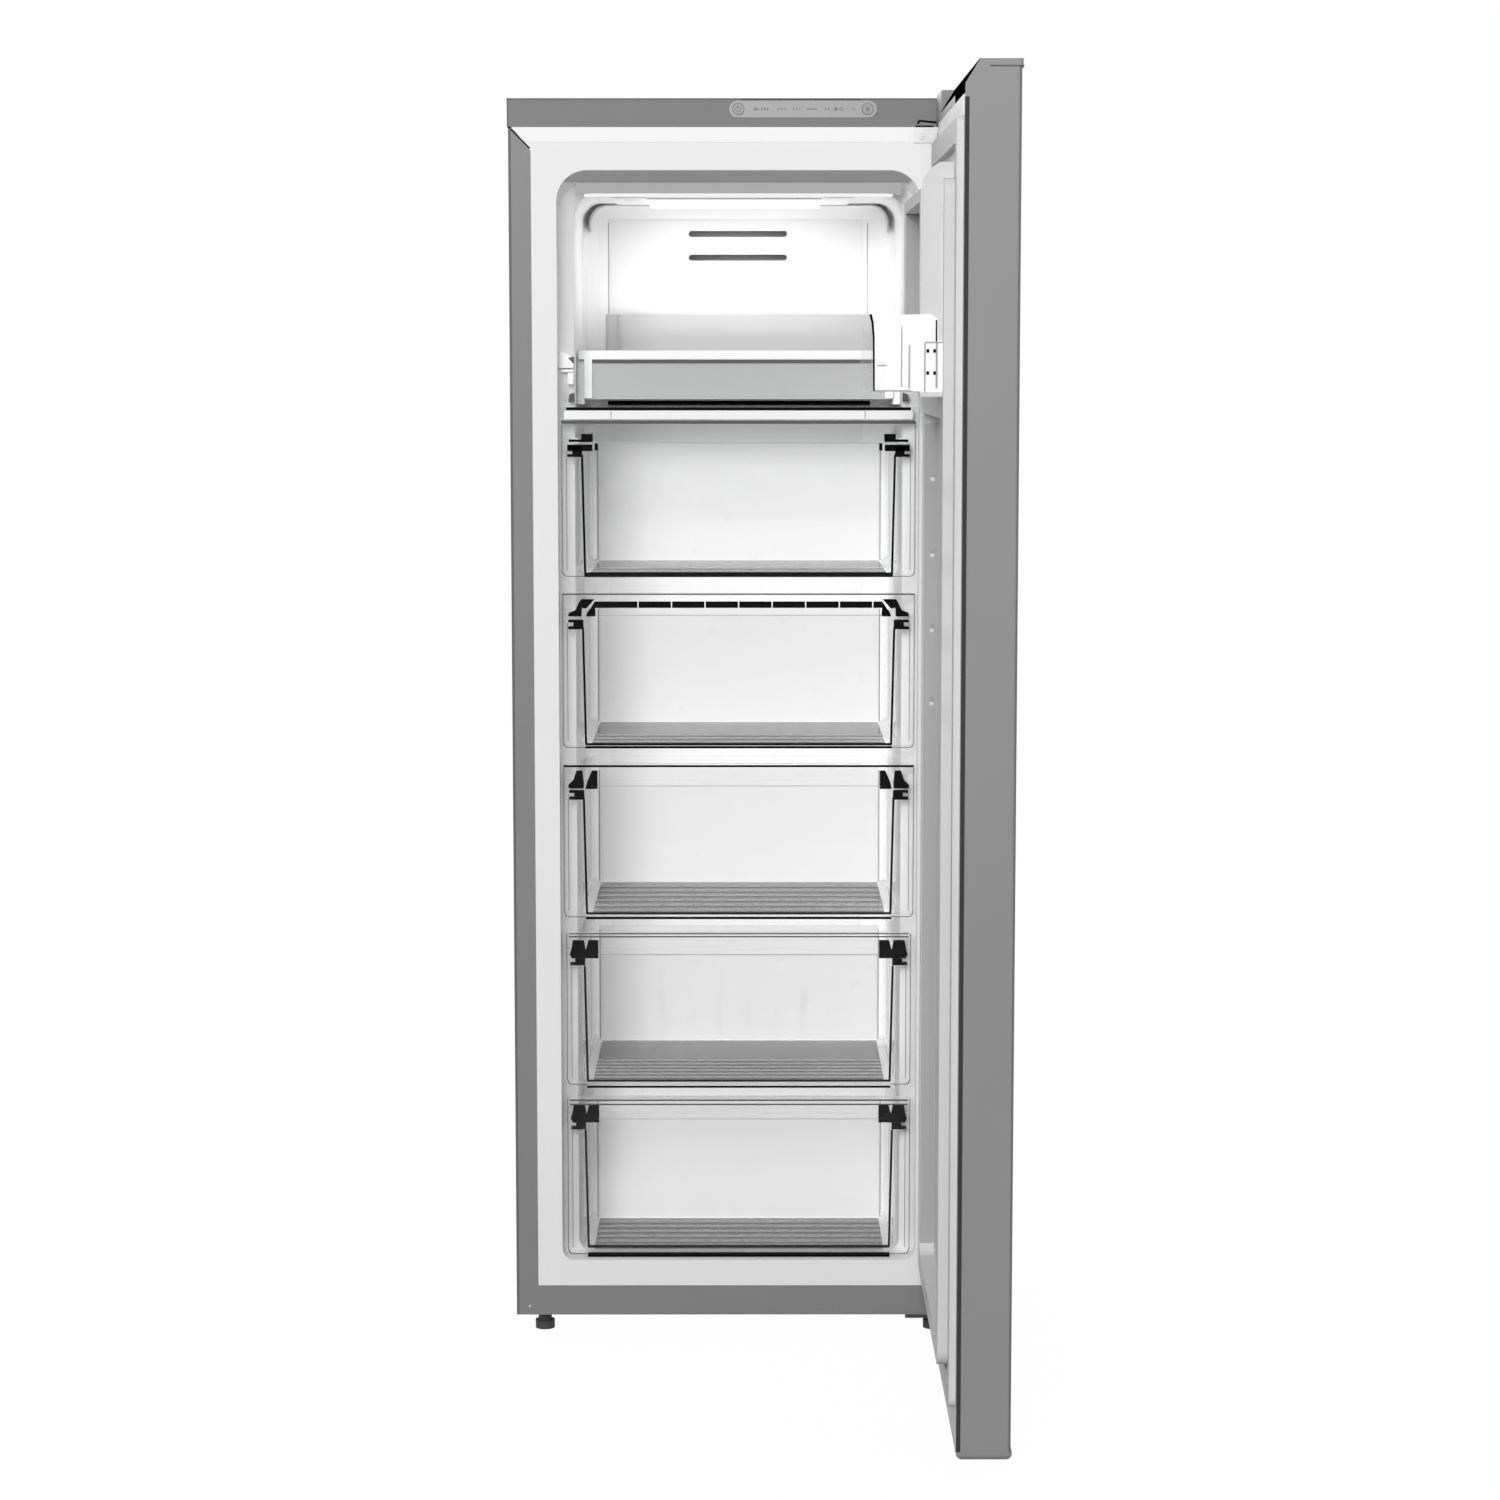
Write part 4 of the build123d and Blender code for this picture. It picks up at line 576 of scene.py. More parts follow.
def ticked_band():
    """The second drawer's black band, split by the light ends of ribs."""
    _, top = drawer_heights(2)

    def make(shape):
        x = -BAND_HALF
        marks = [BAND_PITCH * i for i in range(-3, 5)]
        for mark in marks + [None]:
            end = BAND_HALF if mark is None else mark - BAND_TICK / 2
            block(shape, x, end, BEHIND_FRONT, 19.4, top - BAND_FOOT, top - BAND_TOP)
            x = end + BAND_TICK
    piece("drawer_2_band", make, "black_and_painted_shade", "drawer_2")


for drawer in DRAWERS:
    drawer_top_edge(drawer)
ticked_band()


# ---------------------------------------------------------------- shelf and tray
def shelf_trim():
    """The shelf's white front moulding with its joints, and painted shade along the glass's front
    and back edges.
    """
    def lip(shape):
        plate(shape, round_rect(-228, 228, 1223.6, 1235.2, 2.0), 13.4, 14.5)
    piece("shelf_lip", lip, "bright_white", "cabinet", bevel=0.3 * MM)

    # Painted shade along the glass's front edge.
    def front_edge(shape):
        block(shape, -225.4, 225.4, 13.8, 14.6, 1235.5, 1239.4)
    piece("shelf_front_edge_shade", front_edge, "black_and_painted_shade", "cabinet")

    # Painted shade behind the glass's back edge, where it meets the duct cover.
    def back_edge(shape):
        block(shape, -183.4, 183.5, 344.0, 345.5, 1237.0, 1243.2)
    piece("shelf_back_edge_shade", back_edge, "black_and_painted_shade", "cabinet")

    def ticks(shape):
        for x in (-166.7, 165.4):
            block(shape, x - 0.6, x + 0.6, 13.2, 13.5, 1224.5, 1234.5)
    piece("shelf_lip_joints", ticks, "panel_light", "cabinet")


def tray_details():
    """The tray's white rim and front corners, a painted shadow along the fold under the rim, and
    its ribs.
    """
    # A painted shadow along the fold under the tray's rim.
    def fold(shape):
        block(shape, -203, 203, 105.4, 106.6, 1296.4, 1301.4)
    piece("tray_fold_shadow", fold, "painted_shade_grey", "tray")

    def lip(shape):
        plate(shape, round_rect(-213, 213, 1301.6, 1313.0, 2.0), 104.2, 105.0)
    piece("tray_lip", lip, "bright_white", "tray", bevel=0.3 * MM)

    def corners(shape):
        for side in (-1, 1):
            block(shape, side * 205.5, side * 195, 104.4, 106.4, 1250, 1301.9)
    piece("tray_corners", corners, "bright_white", "tray", bevel=0.3 * MM)

    def ribs(shape):
        for x in (-184.5, -166.0, 184.5):
            block(shape, x - 0.9, x + 0.9, 328.0, 334.0, 1313.2, 1362.6)
    piece("tray_ribs", ribs, "tray_white_painted_shade", "tray", bevel=0.4 * MM)


def tray_brackets():
    """White stops and guides for the tray on the liner's walls, with painted shade in their slots.
    """
    def arm(shape):
        def side_arm(side):
            outline = [(236, 1311), (224, 1309), (218, 1304), (216, 1298), (216, 1290),
                       (236, 1290)]
            plate(shape, [(side * x, z) for x, z in outline], 26, 46)
            block(shape, side * 216, side * 224, 30, 46, 1268.7, 1284.3)
            block(shape, side * 216, side * 233, 28, 46, 1284.6, 1288.6)
        both_sides(side_arm)
    piece("tray_stops", arm, "bright_white", "cabinet", bevel=1.0 * MM)

    def guides(shape):
        for side in (-1, 1):
            plate(shape, [(side * x, z) for x, z in ((205.6, 1241.5), (215.7, 1241.5),
                                                     (215.7, 1306), (208, 1306), (205.6, 1300))],
                  114, 320)
    piece("tray_guides", guides, "bright_white", "cabinet", bevel=1.0 * MM)

    # Painted shade in the slots of the tray's stops.
    def slots(shape):
        def side_slots(side):
            plate(shape, [(side * x, z) for x, z in ((223, 1303.5), (215.2, 1305.5),
                                                     (215.2, 1297), (216.5, 1296.6))], 25.4, 27)
            plate(shape, [(side * x, z) for x, z in ((222, 1256.0), (215.2, 1258.5),
                                                     (215.2, 1246), (223, 1246))], 27.4, 40)
        both_sides(side_slots)
    piece("tray_stop_slot_shade", slots, "painted_shade_grey", "cabinet", bevel=0.3 * MM)


shelf_trim()
tray_details()
tray_brackets()


# ---------------------------------------------------------------- the chamber
DUCT_Y, CEILING_Z = 350.9, 1514.9
COVE_STEPS = 8
LOUVRES, LOUVRE_PITCH, LOUVRE_FOOT = 11, 4.0, 381.0


def duct_wings():
    """White wings that close the chamber's back beside and above the duct cover, and painted
    shadow lines along the cover's edges.
    """
    def make(shape):
        for x0, x1, z0 in ((-215.6, -182.6, 324), (173.2, 215.6, 324), (-182.6, 173.2, 1498)):
            block(shape, x0, x1, DUCT_Y, 351.9, z0, 1514.6)
    piece("duct_wings", make, "bright_white", "cabinet")

    # Painted shadow lines along the duct cover's two side edges.
    def seams(shape):
        block(shape, -182.5, -181.3, 350.7, 351.9, 1268, 1490)
        block(shape, 178.7, 179.9, 350.2, DUCT_Y, 1268, 1490)
    piece("duct_edge_shadows", seams, "panel_light", "cabinet")


def cove():
    """The rounded corner where the chamber's walls and head meet its back."""
    rows = [(316, 215.9, CEILING_Z, 26), (334, 214.4, 1513.4, 25), (344, 210.5, 1509.5, 22),
            (349, 203, 1502, 18), (350.6, 196, 1495, 14), (350.8, 196, 1495, 14),
            (350.8, 215.9, CEILING_Z, 26)]

    def make(shape):
        rings = []
        for y, half, head, radius in rows:
            arch = [(-half, 326)]
            for cx, start in ((-half + radius, 180), (half - radius, 90)):
                for i in range(COVE_STEPS + 1):
                    a = math.radians(start - 90 * i / COVE_STEPS)
                    arch.append((cx + radius * math.cos(a), head - radius + radius * math.sin(a)))
            arch.append((half, 326))
            rings.append([shape.verts.new(at(x, y, z)) for x, z in arch])
        count = len(rings[0])
        for k in range(len(rings)):
            one, two = rings[k], rings[(k + 1) % len(rings)]
            for i in range(count - 1):
                shape.faces.new((one[i], one[i + 1], two[i + 1], two[i]))
        for i in (0, count - 1):
            shape.faces.new([row[i] for row in rings])
    piece("chamber_cove", make, "bright_white", "cabinet")


def intake_louvres():
    """Fine white slats over the duct cover's intake."""
    y = at(0, 350.8, 0).y

    def make(shape):
        for foot in (378.0, 425.0):
            block(shape, -78.0, 62.0, 350.2, 352.0, foot, foot + 3.0)
        for i in range(LOUVRES):
            z = (LOUVRE_FOOT + LOUVRE_PITCH * i) * MM
            slat = [(y - 1.0 * MM, z), (y - 0.4 * MM, z), (y + 1.2 * MM, z + 5.0 * MM),
                    (y + 0.6 * MM, z + 5.0 * MM)]
            add_prism(shape, slat, "x", at(-77, 0, 0).x, at(61, 0, 0).x)
    piece("intake_louvres", make, "lining_white", "cabinet")


def lamp_frame():
    """The lamp's low white base and lip, and a painted shade line along the crease where the
    ceiling meets the back.
    """
    def make(shape):
        block(shape, -168, -121.3, 72, 300, 1512.6, CEILING_Z)
        block(shape, 110.3, 150, 72, 300, 1512.6, CEILING_Z)
        block(shape, -168, 150, 48.5, 59.8, 1512.8, CEILING_Z)
    piece("lamp_frame", make, "bright_white", "cabinet", bevel=0.8 * MM)

    def seam(shape):
        block(shape, -120.5, 109.5, 59.4, 59.9, 1510.6, 1511.6)
    piece("lamp_seam", seam, "panel_light", "cabinet")

    def lip(shape):
        block(shape, -200, 200, 3.5, 4.6, 1510.9, 1516.2)
    piece("lamp_lip", lip, "bright_white", "cabinet")

    # A painted shade line along the crease where the ceiling meets the back.
    def crease(shape):
        arch = [(-207, 1478), (-207, 1492), (-203, 1503), (-196, 1510.4), (-186, 1513.8),
                (186, 1513.8), (196, 1510.4), (203, 1503), (207, 1492), (207, 1478)]
        inner = [(x * 0.994, z - 1.5) for x, z in arch]
        plate(shape, arch + inner[::-1], 313.2, 348.0)
    piece("chamber_crease_shade", crease, "tray_white_painted_shade", "cabinet")


duct_wings()
cove()
intake_louvres()
lamp_frame()


# ---------------------------------------------------------------- the cabinet's front
PANEL_FRONT = -0.5
MARK_Z = 1622.8


def ring(shape, cx, cz, outer, inner, y0, y1, steps=28):
    """A flat ring of millimetres in the front plane."""
    circle = [(math.cos(2 * math.pi * i / steps), math.sin(2 * math.pi * i / steps))
              for i in range(steps)]
    rows = []
    for radius, y in ((outer, y0), (inner, y0), (inner, y1), (outer, y1)):
        rows.append([shape.verts.new(at(cx + radius * c, y, cz + radius * s)) for c, s in circle])
    for a, b in ((0, 1), (1, 2), (2, 3), (3, 0)):
        for i in range(steps):
            j = (i + 1) % steps
            shape.faces.new((rows[a][i], rows[a][j], rows[b][j], rows[b][i]))


def stroke(shape, x0, z0, x1, z1, width, y0, y1):
    """A straight line of a width, drawn flat in the front plane."""
    dx, dz = x1 - x0, z1 - z0
    long = math.hypot(dx, dz)
    nx, nz = -dz / long * width / 2, dx / long * width / 2
    plate(shape, [(x0 + nx, z0 + nz), (x1 + nx, z1 + nz), (x1 - nx, z1 - nz),
                  (x0 - nx, z0 - nz)], y0, y1)


def star(shape, x, z, reach, start_deg, width, y0, y1):
    """Three crossed lines through one point."""
    for turn in range(3):
        a = math.radians(start_deg + 60 * turn)
        dx, dz = reach * math.cos(a), reach * math.sin(a)
        stroke(shape, x - dx, z - dz, x + dx, z + dz, width, y0, y1)


def panel_marks():
    """Plain printed signs between the two buttons, and painted shade along the control strip's
    recess.
    """
    y0, y1 = PANEL_FRONT - 0.2, PANEL_FRONT + 0.05

    def make(shape):
        z = MARK_Z
        plate(shape, [(20.2, z - 2.2), (27.4, z), (20.2, z + 2.2)], y0, y1)
        for x in (30.5, 34.0, 37.6):
            block(shape, x - 1, x + 1, y0, y1, z - 1.6, z + 1.6)
        for x in (51.5, 56.0, 60.4):
            block(shape, x - 1.2, x + 1.2, y0, y1, z - 0.9, z + 0.9)
        for x in (71.0, 75.0, 79.0):
            stroke(shape, x - 1, z - 1.6, x + 1, z + 1.6, 0.9, y0, y1)
        block(shape, 88.2, 101.4, y0, y1, z - 0.8, z + 0.8)
        for x in (112.5, 116.6):
            block(shape, x - 1.1, x + 1.1, y0, y1, z - 1.2, z + 1.2)
        star(shape, 125.6, z, 3.2, 0, 1.0, y0, y1)
        ring(shape, 132.6, z, 2.4, 1.2, y0, y1, 16)
        block(shape, 146.6, 150.4, y0, y1, z - 0.5, z + 0.5)
    piece("panel_marks", make, "print_grey_and_rib_shade", "cabinet")

    # Painted shade along the control strip's recess and in a small notch beside it.
    def shadow(shape):
        block(shape, 4, 158, -0.25, 0.1, 1633.9, 1635.0)
        plate(shape, [(174.5, 1616.0), (177.5, 1620.5), (179.6, 1618.0), (176.5, 1613.8)],
              -0.35, 0.1)
    piece("panel_recess_shade", shadow, "painted_shade_grey", "cabinet")


def button_signs():
    """A plain sign on each button."""
    y = (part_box("left_button")[0].y - FRONT_Y) / MM

    def left(shape):
        ring(shape, -0.4, MARK_Z - 0.4, 3.6, 2.6, y - 0.15, y + 0.1)
        block(shape, -0.9, 0.1, y - 0.15, y + 0.1, MARK_Z + 0.6, MARK_Z + 4.6)
        ring(shape, 0, MARK_Z, 7.3, 6.6, y - 0.1, y + 0.1)
    piece("left_button_sign", left, "print_grey_and_rib_shade", "left_button")

    def right(shape):
        x = (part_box("right_button")[0].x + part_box("right_button")[1].x) / 2
        x = (x - MIDDLE_X) / MM
        star(shape, x, MARK_Z, 4.4, 30, 0.8, y - 0.15, y + 0.1)
        ring(shape, x, MARK_Z, 7.3, 6.6, y - 0.1, y + 0.1)
    piece("right_button_sign", right, "print_grey_and_rib_shade", "right_button")


def front_frame():
    """The raised band above the opening, and the dark mitre of the casing's corner."""
    def band(shape):
        plate(shape, [(-294, 1599.6), (-273.5, 1580.4), (222, 1580.4), (222, 1599.6)], -0.6, 0.0)
    piece("frame_band", band, "bright_white", "cabinet", bevel=0.3 * MM)

    def mitre(shape):
        stroke(shape, -297.2, 1600.2, -269.6, 1572.6, 2.0, -0.2, 0.05)
        block(shape, -297.6, -292.0, -0.2, 0.05, 1598.6, 1600.2)
    piece("corner_mitre", mitre, "black_and_painted_shade", "cabinet")


def head_shade():
    """Painted shade under the opening's head: a darker band where the lip faces down, and a
    lighter band below it.
    """
    # A darker painted shade band under the opening's head.
    def make(shape):
        outline = [(-229, 1531.5), (-224, 1537.5), (-216, 1542), (-205, 1544.2), (205, 1544.2),
                   (216, 1542), (224, 1537.5), (229, 1531.5), (219, 1530.4), (206, 1529.4),
                   (-206, 1529.4), (-219, 1530.4)]
        plate(shape, outline, 1.6, 2.6)
    piece("head_shade_band", make, "painted_head_shade", "cabinet", bevel=0.3 * MM)

    # A lighter painted shade band below it.
    def step(shape):
        outline = [(-211, 1529.6), (211, 1529.6), (211, 1511.6), (206, 1513.4), (199, 1514.9),
                   (190, 1515.6), (-190, 1515.6), (-199, 1514.9), (-206, 1513.4), (-211, 1511.6)]
        plate(shape, outline, 2.5, 3.6)
    piece("head_half_shade", step, "painted_shade_white", "cabinet", bevel=0.3 * MM)


def casing_edge_shade():
    """Painted shade along the casing's folded left edge and along the top trim."""
    def make(shape):
        block(shape, -297.6, -294.2, -0.25, 0.05, 29, 1598)
        block(shape, -298.8, 255, -0.25, 0.05, 1634.6, 1636.5)
        block(shape, -298.9, -297.2, -0.25, 0.05, 1600, 1636)
    piece("casing_edge_shade", make, "painted_edge_shade", "cabinet")


def hinge_details():
    """Painted shade on the upper arm's edges and in the gap beside it, and the block over it."""
    # Painted shade along the upper arm's edges.
    def edge(shape):
        block(shape, 226.2, 250.0, -44.4, -44.0, 1596.8, 1599.0)
        plate(shape, [(230.5, 1603.4), (232.5, 1603.4), (234.5, 1606.4), (256, 1604.2),
                      (256, 1607.0), (234, 1609.2), (231.5, 1607.6)], -0.4, 0.1)
    piece("hinge_edge_shade", edge, "black_and_painted_shade", "cabinet")

    def gap(shape):
        # Painted shade in the gap beside the upper arm.
        block(shape, 256.2, 258.6, -0.8, 0.0, 1600.4, 1636.4)
    piece("hinge_gap_shade", gap, "black_and_painted_shade", "cabinet")

    def cover(shape):
        outline = [(259.2, 1600.2), (294.0, 1600.2), (297.0, 1603), (297.0, 1641), (293.0, 1645.4),
                   (263.0, 1645.4), (259.2, 1640)]
        plate(shape, outline, -1.2, 62.0)
    piece("hinge_cover", cover, "trim_grey", "cabinet", bevel=1.6 * MM, segments=3)


panel_marks()
button_signs()
front_frame()
head_shade()
casing_edge_shade()
hinge_details()


# ---------------------------------------------------------------- the door
DOOR_END = -605.0
SKIN_TOP, SKIN_FOOT = 1630.3, 30.6
CLIP_HEIGHTS = (1170.5, 1084.0, 998.2, 914.0)


def door_details():
    """Painted shade in the door's gap, along its far edge, under its cap and on the cap's inner
    slope, painted shade on the lining's far faces, and the lining's cheek, top band and clips.
    """
    # Painted shade in the gap beside the door's gasket.
    def seam(shape):
        block(shape, 255.3, 260.3, DOOR_END - 0.4, DOOR_END + 0.4, SKIN_FOOT + 1, 1596)
    piece("door_gap_shade", seam, "dark_seam_and_gap_shade", "door")

    # Painted shade on the far dike's and far cheek's faces that face the front.
    def inserts(shape):
        block(shape, 237.2, 254.8, -102.3, -101.4, 146, 1228)
        block(shape, 211.2, 235.8, -122.3, -121.4, 1264, 1483)
    piece("lining_far_shade", inserts, "painted_shade_white", "door")

    def cheek(shape):
        rim = [(212, 1270), (248.5, 1270), (248.5, 1528), (232, 1528), (222, 1521), (214, 1511),
               (212, 1506)]
        plate(shape, rim, -520.4, -519.4)
    piece("lining_cheek", cheek, "door_white", "door", bevel=0.3 * MM)

    # Painted shade: black on the door cap's inner slope.
    def slope(shape):
        flat = [(272.4, 1638.2), (255.5, 1610.9), (254.9, 1611.3), (271.8, 1638.6)]
        plate(shape, flat, DOOR_END + 1, -122)
        block(shape, 254.7, 255.5, DOOR_END + 1, -425, 1600.6, 1611)
    piece("door_cap_slope_shade", slope, "painted_shade_black", "door")

    def band(shape):
        block(shape, 254.7, 255.5, -588, -62, 1577, 1600)
    piece("lining_top_band", band, "bright_white", "door", bevel=0.3 * MM)

    # Painted shade along the door's far, rounded edge.
    def far_edge(shape):
        block(shape, 317.2, 319.2, DOOR_END - 0.3, DOOR_END + 0.2, 31.5, 1629)
    piece("door_edge_shade", far_edge, "painted_edge_shade", "door")

    # Painted shade along the line under the door's top cap.
    def line(shape):
        block(shape, 283, 321.4, DOOR_END - 0.3, DOOR_END + 0.3, SKIN_TOP - 1.2, SKIN_TOP + 0.6)
        block(shape, 321.0, 321.5, DOOR_END, -16, SKIN_TOP - 1.2, SKIN_TOP + 0.6)
    piece("door_cap_shade_line", line, "painted_shade_grey", "door")

    def clips(shape):
        for z in CLIP_HEIGHTS:
            block(shape, 219.6, 224.6, -596.4, -588, z - 5.6, z - 0.6)
    piece("lining_clips", clips, "door_white", "door", bevel=1.0 * MM)

    def notches(shape):
        for z in CLIP_HEIGHTS:
            block(shape, 219.8, 224.4, -596.0, -588, z + 0.6, z + 4.0)
    piece("lining_notches", notches, "panel_light", "door", bevel=0.8 * MM)


def bin_lines():
    """The clear bin's frosted end and arm, painted shade along its edges, and its ribs."""
    y0, y1 = -522.2, -521.6
    end_y0, end_y1 = -512.2, -510.6

    def arm(shape):
        plate(shape, [(209, 1265.5), (249.6, 1265.5), (249.6, 1323), (231, 1325), (231, 1349),
                      (224, 1354.6), (209, 1354.6)], -521.8, -520.7)
        block(shape, 201, 211, -521.8, -510.5, 1266.2, 1353.8)
    piece("bin_arm", arm, "bin_frost", "door_bin", bevel=0.4 * MM)

    def end(shape):
        plate(shape, [(153.4, 1354.4), (155.8, 1345), (157.2, 1328), (157.8, 1266.6),
                      (208.5, 1266.6), (208.5, 1354.4)], -512.1, -511.6)
    piece("bin_end", end, "bin_frost", "door_bin")

    # Painted shade along the bin's edges and at a few small dark marks.
    def dark(shape):
        plate(shape, [(152.0, 1354.6), (154.6, 1345), (156.2, 1328), (156.8, 1266.4),
                      (158.8, 1266.4), (158.4, 1328), (157.2, 1345), (155.2, 1354.6)],
              end_y0, end_y1)
        plate(shape, [(248.4, 1322.9), (250.4, 1322.9), (250.4, 1268), (248.8, 1268)], y0, y1)
        block(shape, 228.2, 230.0, y0, y1, 1323.4, 1348.1)
        for x, z in ((219.4, 1312.6), (227.2, 1312.6), (219.4, 1287.2), (227.2, 1287.2)):
            block(shape, x - 1.6, x + 1.6, y0, y1, z - 2.0, z + 2.0)
        for x in (239.0, 246.0):
            block(shape, x - 1.4, x + 1.4, y0, y1, 1265.4, 1268.4)
    piece("bin_edge_shade", dark, "black_and_painted_shade", "door_bin")

    def pale(shape):
        block(shape, 189.0, 190.4, end_y0, end_y1, 1271.0, 1341.2)
        block(shape, 197.6, 199.6, end_y0, end_y1, 1269.9, 1319.4)
        block(shape, 215.2, 216.8, y0, y1, 1266.4, 1322.9)
        block(shape, 228.4, 230.8, y0, y1, 1270.0, 1322.0)
        block(shape, 158.6, 200.5, end_y0, end_y1, 1265.8, 1267.6)
        block(shape, 216.8, 248.6, y0, y1, 1321.6, 1323.2)
        block(shape, 162.0, 173.0, end_y0, end_y1, 1295.0, 1296.6)
    piece("bin_ribs", pale, "panel_light", "door_bin")


door_details()
bin_lines()


# ---------------------------------------------------------------- the back
BACK_Y, COVER_Y = 520.0, 506.0
SCREW_EDGES = (300, 520, 740, 960, 1180, 1400, 1600)
COVER_SCREWS = (44, 150, 262)


def disc(shape, x, z, radius, y0, y1, sides):
    """A round or many-sided head that stands up from a surface across Y."""
    points = [(x + radius * math.cos(2 * math.pi * i / sides),
               z + radius * math.sin(2 * math.pi * i / sides)) for i in range(sides)]
    plate(shape, points, y0, y1)


def rear_details():
    """Screws, pressed ribs, wall spacers and seams on the back and the machine cover."""
    panel = [(side * 286, z) for side in (-1, 1) for z in SCREW_EDGES]
    panel += [(x, 1622) for x in (-190, -64, 64, 190)]
    cover = [(side * 285, z) for side in (-1, 1) for z in COVER_SCREWS] + [(0, 262)]

    def screws(shape):
        for places, y in ((panel, BACK_Y), (cover, COVER_Y)):
            for x, z in places:
                disc(shape, x, z, 5.6, y, y + 0.9, 24)
                disc(shape, x, z, 3.9, y + 0.8, y + 3.2, 6)
    piece("rear_screws", screws, "steel", "cabinet", bevel=0.3 * MM)

    def swages(shape):
        for z in (420, 690, 960, 1230, 1500):
            plate(shape, round_rect(-236, 236, z - 7, z + 7, 6.9), BACK_Y - 0.2, BACK_Y + 2.2)
    piece("rear_swages", swages, "galvanised", "cabinet", bevel=2.0 * MM, segments=4)

    def spacers(shape):
        for x in (-205, 205):
            for z in (350, 1570):
                plate(shape, round_rect(x - 17, x + 17, z - 11, z + 11, 4), BACK_Y, BACK_Y + 4)
                plate(shape, round_rect(x - 11, x + 11, z - 7, z + 7, 3), BACK_Y + 4,
                      BACK_Y + 14)
    piece("wall_spacers", spacers, "black_plastic", "cabinet", bevel=1.0 * MM)

    def seam(shape):
        block(shape, -296, 296, COVER_Y, COVER_Y + 0.6, 266.0, 271.6)
        for side in (-1, 1):
            block(shape, side * 289, side * 296, COVER_Y, COVER_Y + 0.6, 30, 271)
    piece("cover_hem", seam, "galvanised", "cabinet", bevel=0.4 * MM)

    def top_joint(shape):
        for side in (-1, 1):
            block(shape, side * 284, side * 285.2, 72, 518, 1636.2, 1636.6)
        block(shape, -284, 284, 516, 517.2, 1636.2, 1636.6)
    piece("top_joints", top_joint, "dark_seam_and_gap_shade", "cabinet")


rear_details()


# ---------------------------------------------------------------- stage
def seen_directly(nodes, links):
    """1 for rays from the camera, from a reflection or through a clear piece, else 0."""
    path = nodes.new("ShaderNodeLightPath")
    value = path.outputs["Is Camera Ray"]
    for ray in ("Is Glossy Ray", "Is Transmission Ray"):
        more = nodes.new("ShaderNodeMath")
        more.operation = "MAXIMUM"
        links.new(value, more.inputs[0])
        links.new(path.outputs[ray], more.inputs[1])
        value = more.outputs["Value"]
    return value


def backdrop():
    """A pale floor that keeps the freezer's shadow."""
    mesh = bpy.data.meshes.new("floor")
    half = FLOOR_HALF
    mesh.from_pydata([(-half, -half, 0), (half, -half, 0), (half, half, 0), (-half, half, 0)],
                     [], [(0, 1, 2, 3)])
    floor = bpy.data.objects.new("floor", mesh)
    bpy.context.scene.collection.objects.link(floor)
    mat, nodes, links, shader = new_material("floor_white")
    shader.inputs["Base Color"].default_value = tone(FLOOR_TONE)
    shader.inputs["Roughness"].default_value = 0.8
    glow = nodes.new("ShaderNodeEmission")
    glow.inputs["Strength"].default_value = FLOOR_GLOW
    share = nodes.new("ShaderNodeMath")
    share.operation = "MULTIPLY"
    share.inputs[1].default_value = FLOOR_GLOW_SHARE
    mix = nodes.new("ShaderNodeMixShader")
    links.new(seen_directly(nodes, links), share.inputs[0])
    links.new(share.outputs["Value"], mix.inputs["Fac"])
    links.new(shader.outputs["BSDF"], mix.inputs[1])
    links.new(glow.outputs["Emission"], mix.inputs[2])
    links.new(mix.outputs["Shader"], nodes["Material Output"].inputs["Surface"])
    mesh.materials.append(mat)


def sky():
    """White for what sees it, and a softer level for what it lights."""
    world = bpy.data.worlds.new("studio")
    bpy.context.scene.world = world
    world.use_nodes = True
    nodes, links = world.node_tree.nodes, world.node_tree.links
    back = nodes["Background"]
    back.inputs["Color"].default_value = (1, 1, 1, 1)
    ranged = nodes.new("ShaderNodeMapRange")
    ranged.inputs["To Min"].default_value = WORLD_STRENGTH
    ranged.inputs["To Max"].default_value = 1.0
    links.new(seen_directly(nodes, links), ranged.inputs["Value"])
    links.new(ranged.outputs["Result"], back.inputs["Strength"])


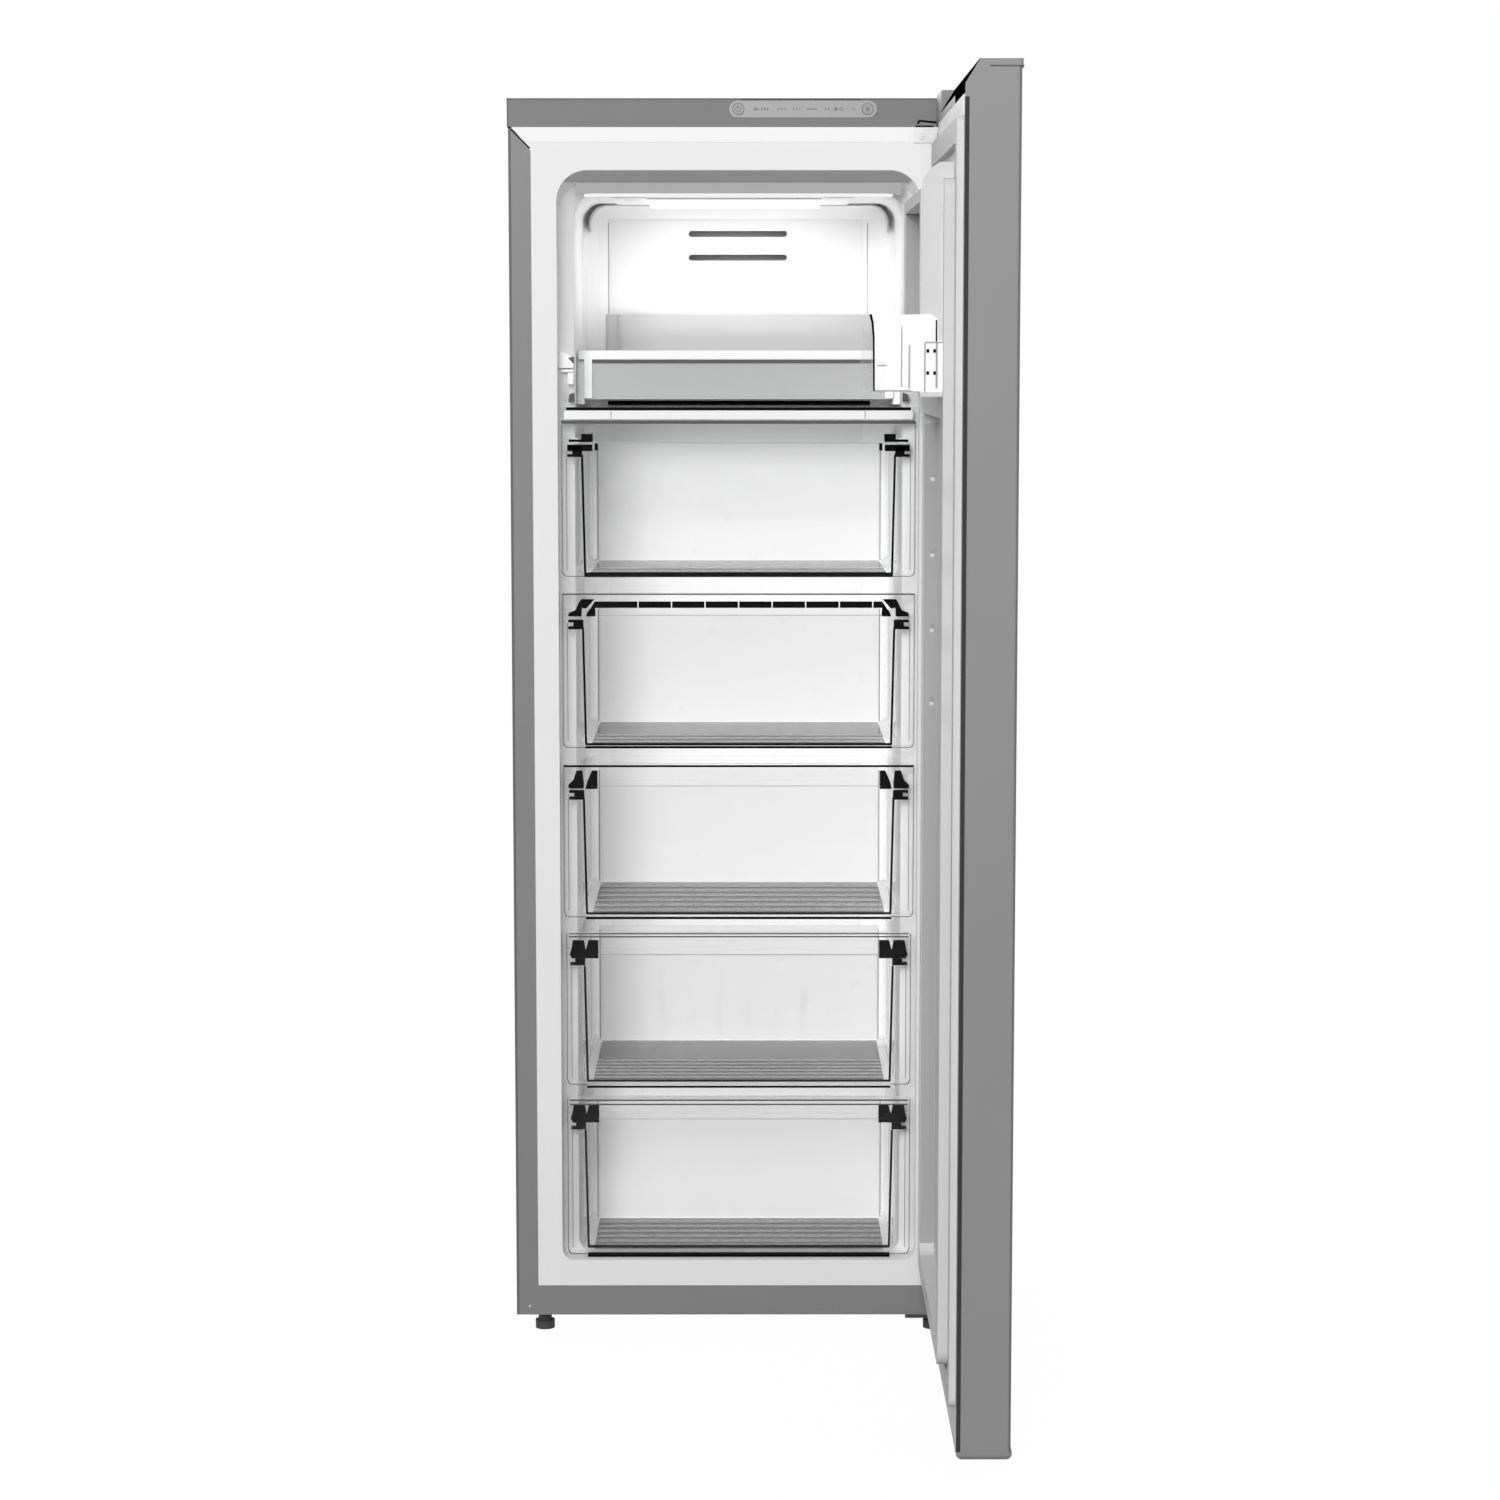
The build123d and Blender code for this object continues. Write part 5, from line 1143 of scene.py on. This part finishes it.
def area_lamp(name, form, place, size, power, turn):
    """A flat lamp of a form, SQUARE or RECTANGLE, turned by Euler angles."""
    lamp = bpy.data.lights.new(name, "AREA")
    lamp.shape = form
    lamp.size, lamp.size_y = size
    lamp.energy = power
    obj = bpy.data.objects.new(name, lamp)
    obj.location = place
    obj.rotation_euler = turn
    bpy.context.scene.collection.objects.link(obj)
    return obj


def softbox(name, place, size, power):
    """A square studio lamp that points at the middle of the freezer."""
    aim = Vector(AIM) - Vector(place)
    area_lamp(name, "SQUARE", place, (size, size), power,
              aim.to_track_quat("-Z", "Y").to_euler())


def inner_lamp(name, place, size, power, turn):
    """A soft lamp inside the chamber that lights it without being seen itself."""
    obj = area_lamp(name, "RECTANGLE", place, size, power,
                    Euler([math.radians(a) for a in turn]))
    obj.visible_camera = False
    obj.visible_glossy = False


def camera():
    """The photo's view, fitted to the freezer's edges."""
    lens = bpy.data.cameras.new("camera")
    lens.sensor_width = SENSOR_MM
    lens.lens = FOCAL_PIXELS / IMAGE_PIXELS * SENSOR_MM
    obj = bpy.data.objects.new("camera", lens)
    obj.location = CAMERA_PLACE
    obj.rotation_euler = Euler((math.radians(90 - CAMERA_DOWN_DEG), 0,
                                math.radians(-CAMERA_RIGHT_DEG)))
    bpy.context.scene.collection.objects.link(obj)
    bpy.context.scene.camera = obj


backdrop()
sky()
softbox("key", KEY_PLACE, KEY_SIZE, KEY_POWER)
softbox("back", BACK_PLACE, BACK_SIZE, BACK_POWER)
softbox("side", SIDE_PLACE, SIDE_SIZE, SIDE_POWER)
inner_lamp("lamp_down", at(0, 130, 1506), (0.36, 0.12), 0.19, (12, 0, 0))
inner_lamp("lamp_up", at(0, 225, 1330), (0.30, 0.12), 0.30, (180, 0, 0))
inner_lamp("left_glow", at(-206, 34, 800), (0.02, 0.86), 0.11, (90, 0, -60))
inner_lamp("right_glow", at(206, 34, 800), (0.02, 0.86), 0.20, (90, 0, 60))
camera()
bpy.context.scene.view_settings.view_transform = "Standard"
bpy.context.scene.cycles.transparent_max_bounces = CLEAR_LAYERS
